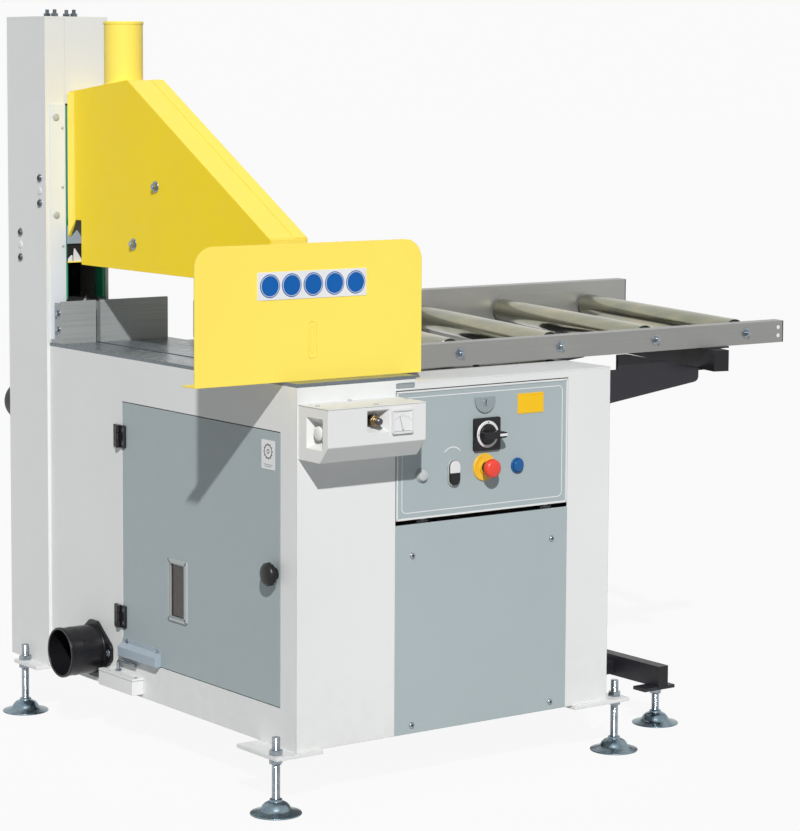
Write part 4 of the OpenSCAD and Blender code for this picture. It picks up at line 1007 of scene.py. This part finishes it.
motor = arm_point((MOT_X, MOT_D, MOT_H))
p = Piece("motor_body", "saw_arm", "motor_blue", "motor")
p.lathe(motor, X, [(0, 34), (12.3, 34), (12.3, 0), (34, 0), (36, 5), (60, 7), (72, 11), (75.6, 15),
        (75.6, 33), (73, 36), (61, 36.5), (61, 213), (73, 214), (75.6, 217),
        (75.6, 243), (73, MOT_L), (0, MOT_L)], 56)
p.lathe(motor + X * MOT_L, X, [(0, 0), (64.6, 0), (66, 1.5), (66, 20), (63, 26), (56, 29), (0, 29)], 56)
for r in (16, 28, 40, 52):
    slit = [(r - 2, 0), (r - 2, 1), (r - 1.4, 1.4), (r + 1.4, 1.4), (r + 2, 1), (r + 2, 0)]
    p.lathe(motor + X * (MOT_L + 28.6), X, slit, 40, "dark_steel", True)
for a in range(0, 360, 10):
    if min(a, 360 - a) < 34 or abs(a - 180) < 48:
        continue
    d, q = spoke(a, ARM_Z, ARM_Y), spoke(a, ARM_Y, -ARM_Z)
    fin = [motor + X * 38 + d * r + q * w for r, w in ((60, -1.7), (60, 1.7), (74.6, 1.1), (74.6, -1.1))]
    p.solid(fin, [k + X * 174 for k in fin], 0.5)
arm_box(p, 370, 560, 60, -36, -26)
for x in (372, 528):
    arm_box(p, x, x + 30, 46, -28, 2)
    for d in (-53, 53):
        p.bolt(arm_point((x + 15, MOT_D + d, -26)), ARM_Z, 6, 5)
arm_box(p, 400, 500, 40, MOT_H + 58, MOT_H + 84, 2)
arm_box(p, 398, 502, 42, MOT_H + 84.6, MOT_H + 92, 1.5)
for x, d in product((406, 494), (-34, 34)):
    p.pan(arm_point((x, MOT_D + d, MOT_H + 92)), ARM_Z, 4, 2)
gland = [(0, 0), (12, 0), (12, 9), (10, 10), (10, 17), (6, 19), (0, 19)]
p.lathe(arm_point((450, MOT_D + 38, MOT_H + 71)), ARM_Y, gland, 6, "black_plastic")

p = Piece("blade_tips", "saw_blade", "bare_steel")
for k in range(TIPS):
    tip = [(r, 360 / TIPS * k + a) for r, a in ((300.2, -0.35), (300.2, 0.18), (290.5, 0.62), (290.5, 0.0))]
    p.solid([on_disc(BLADE_X - TIP_HALF, *c) for c in tip], [on_disc(BLADE_X + TIP_HALF, *c) for c in tip])
for a in range(0, 360, 60):
    p.screw(on_disc(86, 44, a), -X, 6, 4, "dark_steel")

LIFT_X, LIFT_Y = 195, PIVOT_Y + ARM_L - 155
HEAD, BORE_R, HEAD_Z = 28, 12.4, ZB + 315
p = Piece("lift_cylinder_body", "frame", "aluminium", "lift_cylinder")
head = (LIFT_X - HEAD, LIFT_X + HEAD, LIFT_Y - HEAD, LIFT_Y + HEAD)
p.box(*head, HEAD_Z, HEAD_Z + 30, 2)
bore = Piece("bore", "frame", "aluminium")
bore.rod((LIFT_X, LIFT_Y, HEAD_Z - 5), Z, BORE_R, 0, 40, 40)
p.cut(bore)
p.lathe((LIFT_X, LIFT_Y, ZB + 40), Z, [(BORE_R, 0), (25, 0), (25, 275), (BORE_R, 275)], 44, closed=True)
p.box(*head, ZB + 14, ZB + 40, 2)
p.box(LIFT_X - 45, LIFT_X + 45, LIFT_Y - 45, LIFT_Y + HEAD, ZB + 6, ZB + 14, 1, "machine_grey")
for x, y in product((LIFT_X - 22, LIFT_X + 22), (LIFT_Y - 22, LIFT_Y + 22)):
    p.rod((x, y, ZB + 39), Z, 3.2, 0, 277, 14, "zinc")
    p.bolt((x, y, HEAD_Z + 30), Z, 5, 4, washer=False)
for x, y in product((LIFT_X - 37, LIFT_X + 37), (LIFT_Y - 37, LIFT_Y + 20)):
    p.bolt((x, y, ZB + 14), Z, 6, 5)

# Switchgear in the enclosure: contactors, terminals, wire duct
BACK_Y, TERMINAL_Y, TERMINAL = 153, 117, 15.6
p = Piece("switchgear", "frame", "black_plastic")
for i in range(5):
    x = 300 + 58 * i
    shell = "lock_grey" if i in (0, 4) else "black_plastic"
    p.box(x - 1, x + 47, 88.8, BACK_Y, SILL + 149, SILL + 231, 1.2, shell)
    p.box(x + 4, x + 42, 82, 90, SILL + 167, SILL + 213, 1.2, shell)
    p.box(x + 8, x + 38, 81.4, 82.4, SILL + 186, SILL + 198, 0.2, "sign_white")
    for s, z in product((9, 23, 37), (157, 223)):
        p.pan((x + s, 88.8, SILL + z), -Y, 3.6, 1.6)
for k in range(21):
    x = 299.4 + 16.26 * k
    p.box(x, x + TERMINAL, TERMINAL_Y, BACK_Y, SILL + 38.4, SILL + 71.6, 0.8,
          "stop_yellow" if k % 7 == 6 else "lock_grey")
    for z in (46, 64):
        p.pan((x + TERMINAL / 2, TERMINAL_Y, SILL + z), -Y, 3, 1.2)
p.box(268, 710, 126, BACK_Y, SILL + 96, SILL + 126, 1, "frame_grey")
for k in range(36):
    p.box(274 + 12 * k, 277 + 12 * k, 125.4, 126.4, SILL + 100, SILL + 122, 0.2, "ink_black")


# Bolted covers on the back and the right side

def cover(name, box, out, heads, r, high):
    """A thin sheet with domed screws; the piece is given back for more."""
    p = Piece(name, "frame", "white_paint")
    p.box(*box, 0.5)
    for at in heads:
        p.pan(at, out, r, high)
    return p


SHEET, COLUMN_SHEET = 1.6, 1.4
p = cover("rear_cover", (215, 815, D, D + SHEET, ZB + 45, T - 75), Y,
          product((228, 421, 614, 802), (D + SHEET,), (ZB + 58, T - 88)), 5.4, 2.6)
for x, k in product((300, 560), range(7)):
    z = ZB + 150 + 26 * k
    p.prism([(D + 1.4, z), (D + 8, z), (D + 8.4, z + 1), (D + 1.4, z + 16)], on_right(x), 170, 0.3)
y = COL_BACK + COLUMN_SHEET
cover("column_cover", (10, 142, COL_BACK, y, T - 40, COL_TOP - 16), Y,
      product((20, 132), (y,), (T - 28, T + 230, T + 490, COL_TOP - 28)), 5, 2.4)
cover("side_cover", (W, W + SHEET, 90, 950, ZB + 90, T - 300), X,
      product((W + SHEET,), (102, 384, 656, 938), (ZB + 102, T - 312)), 5.4, 2.6)

for p in Piece.made:
    p.done()
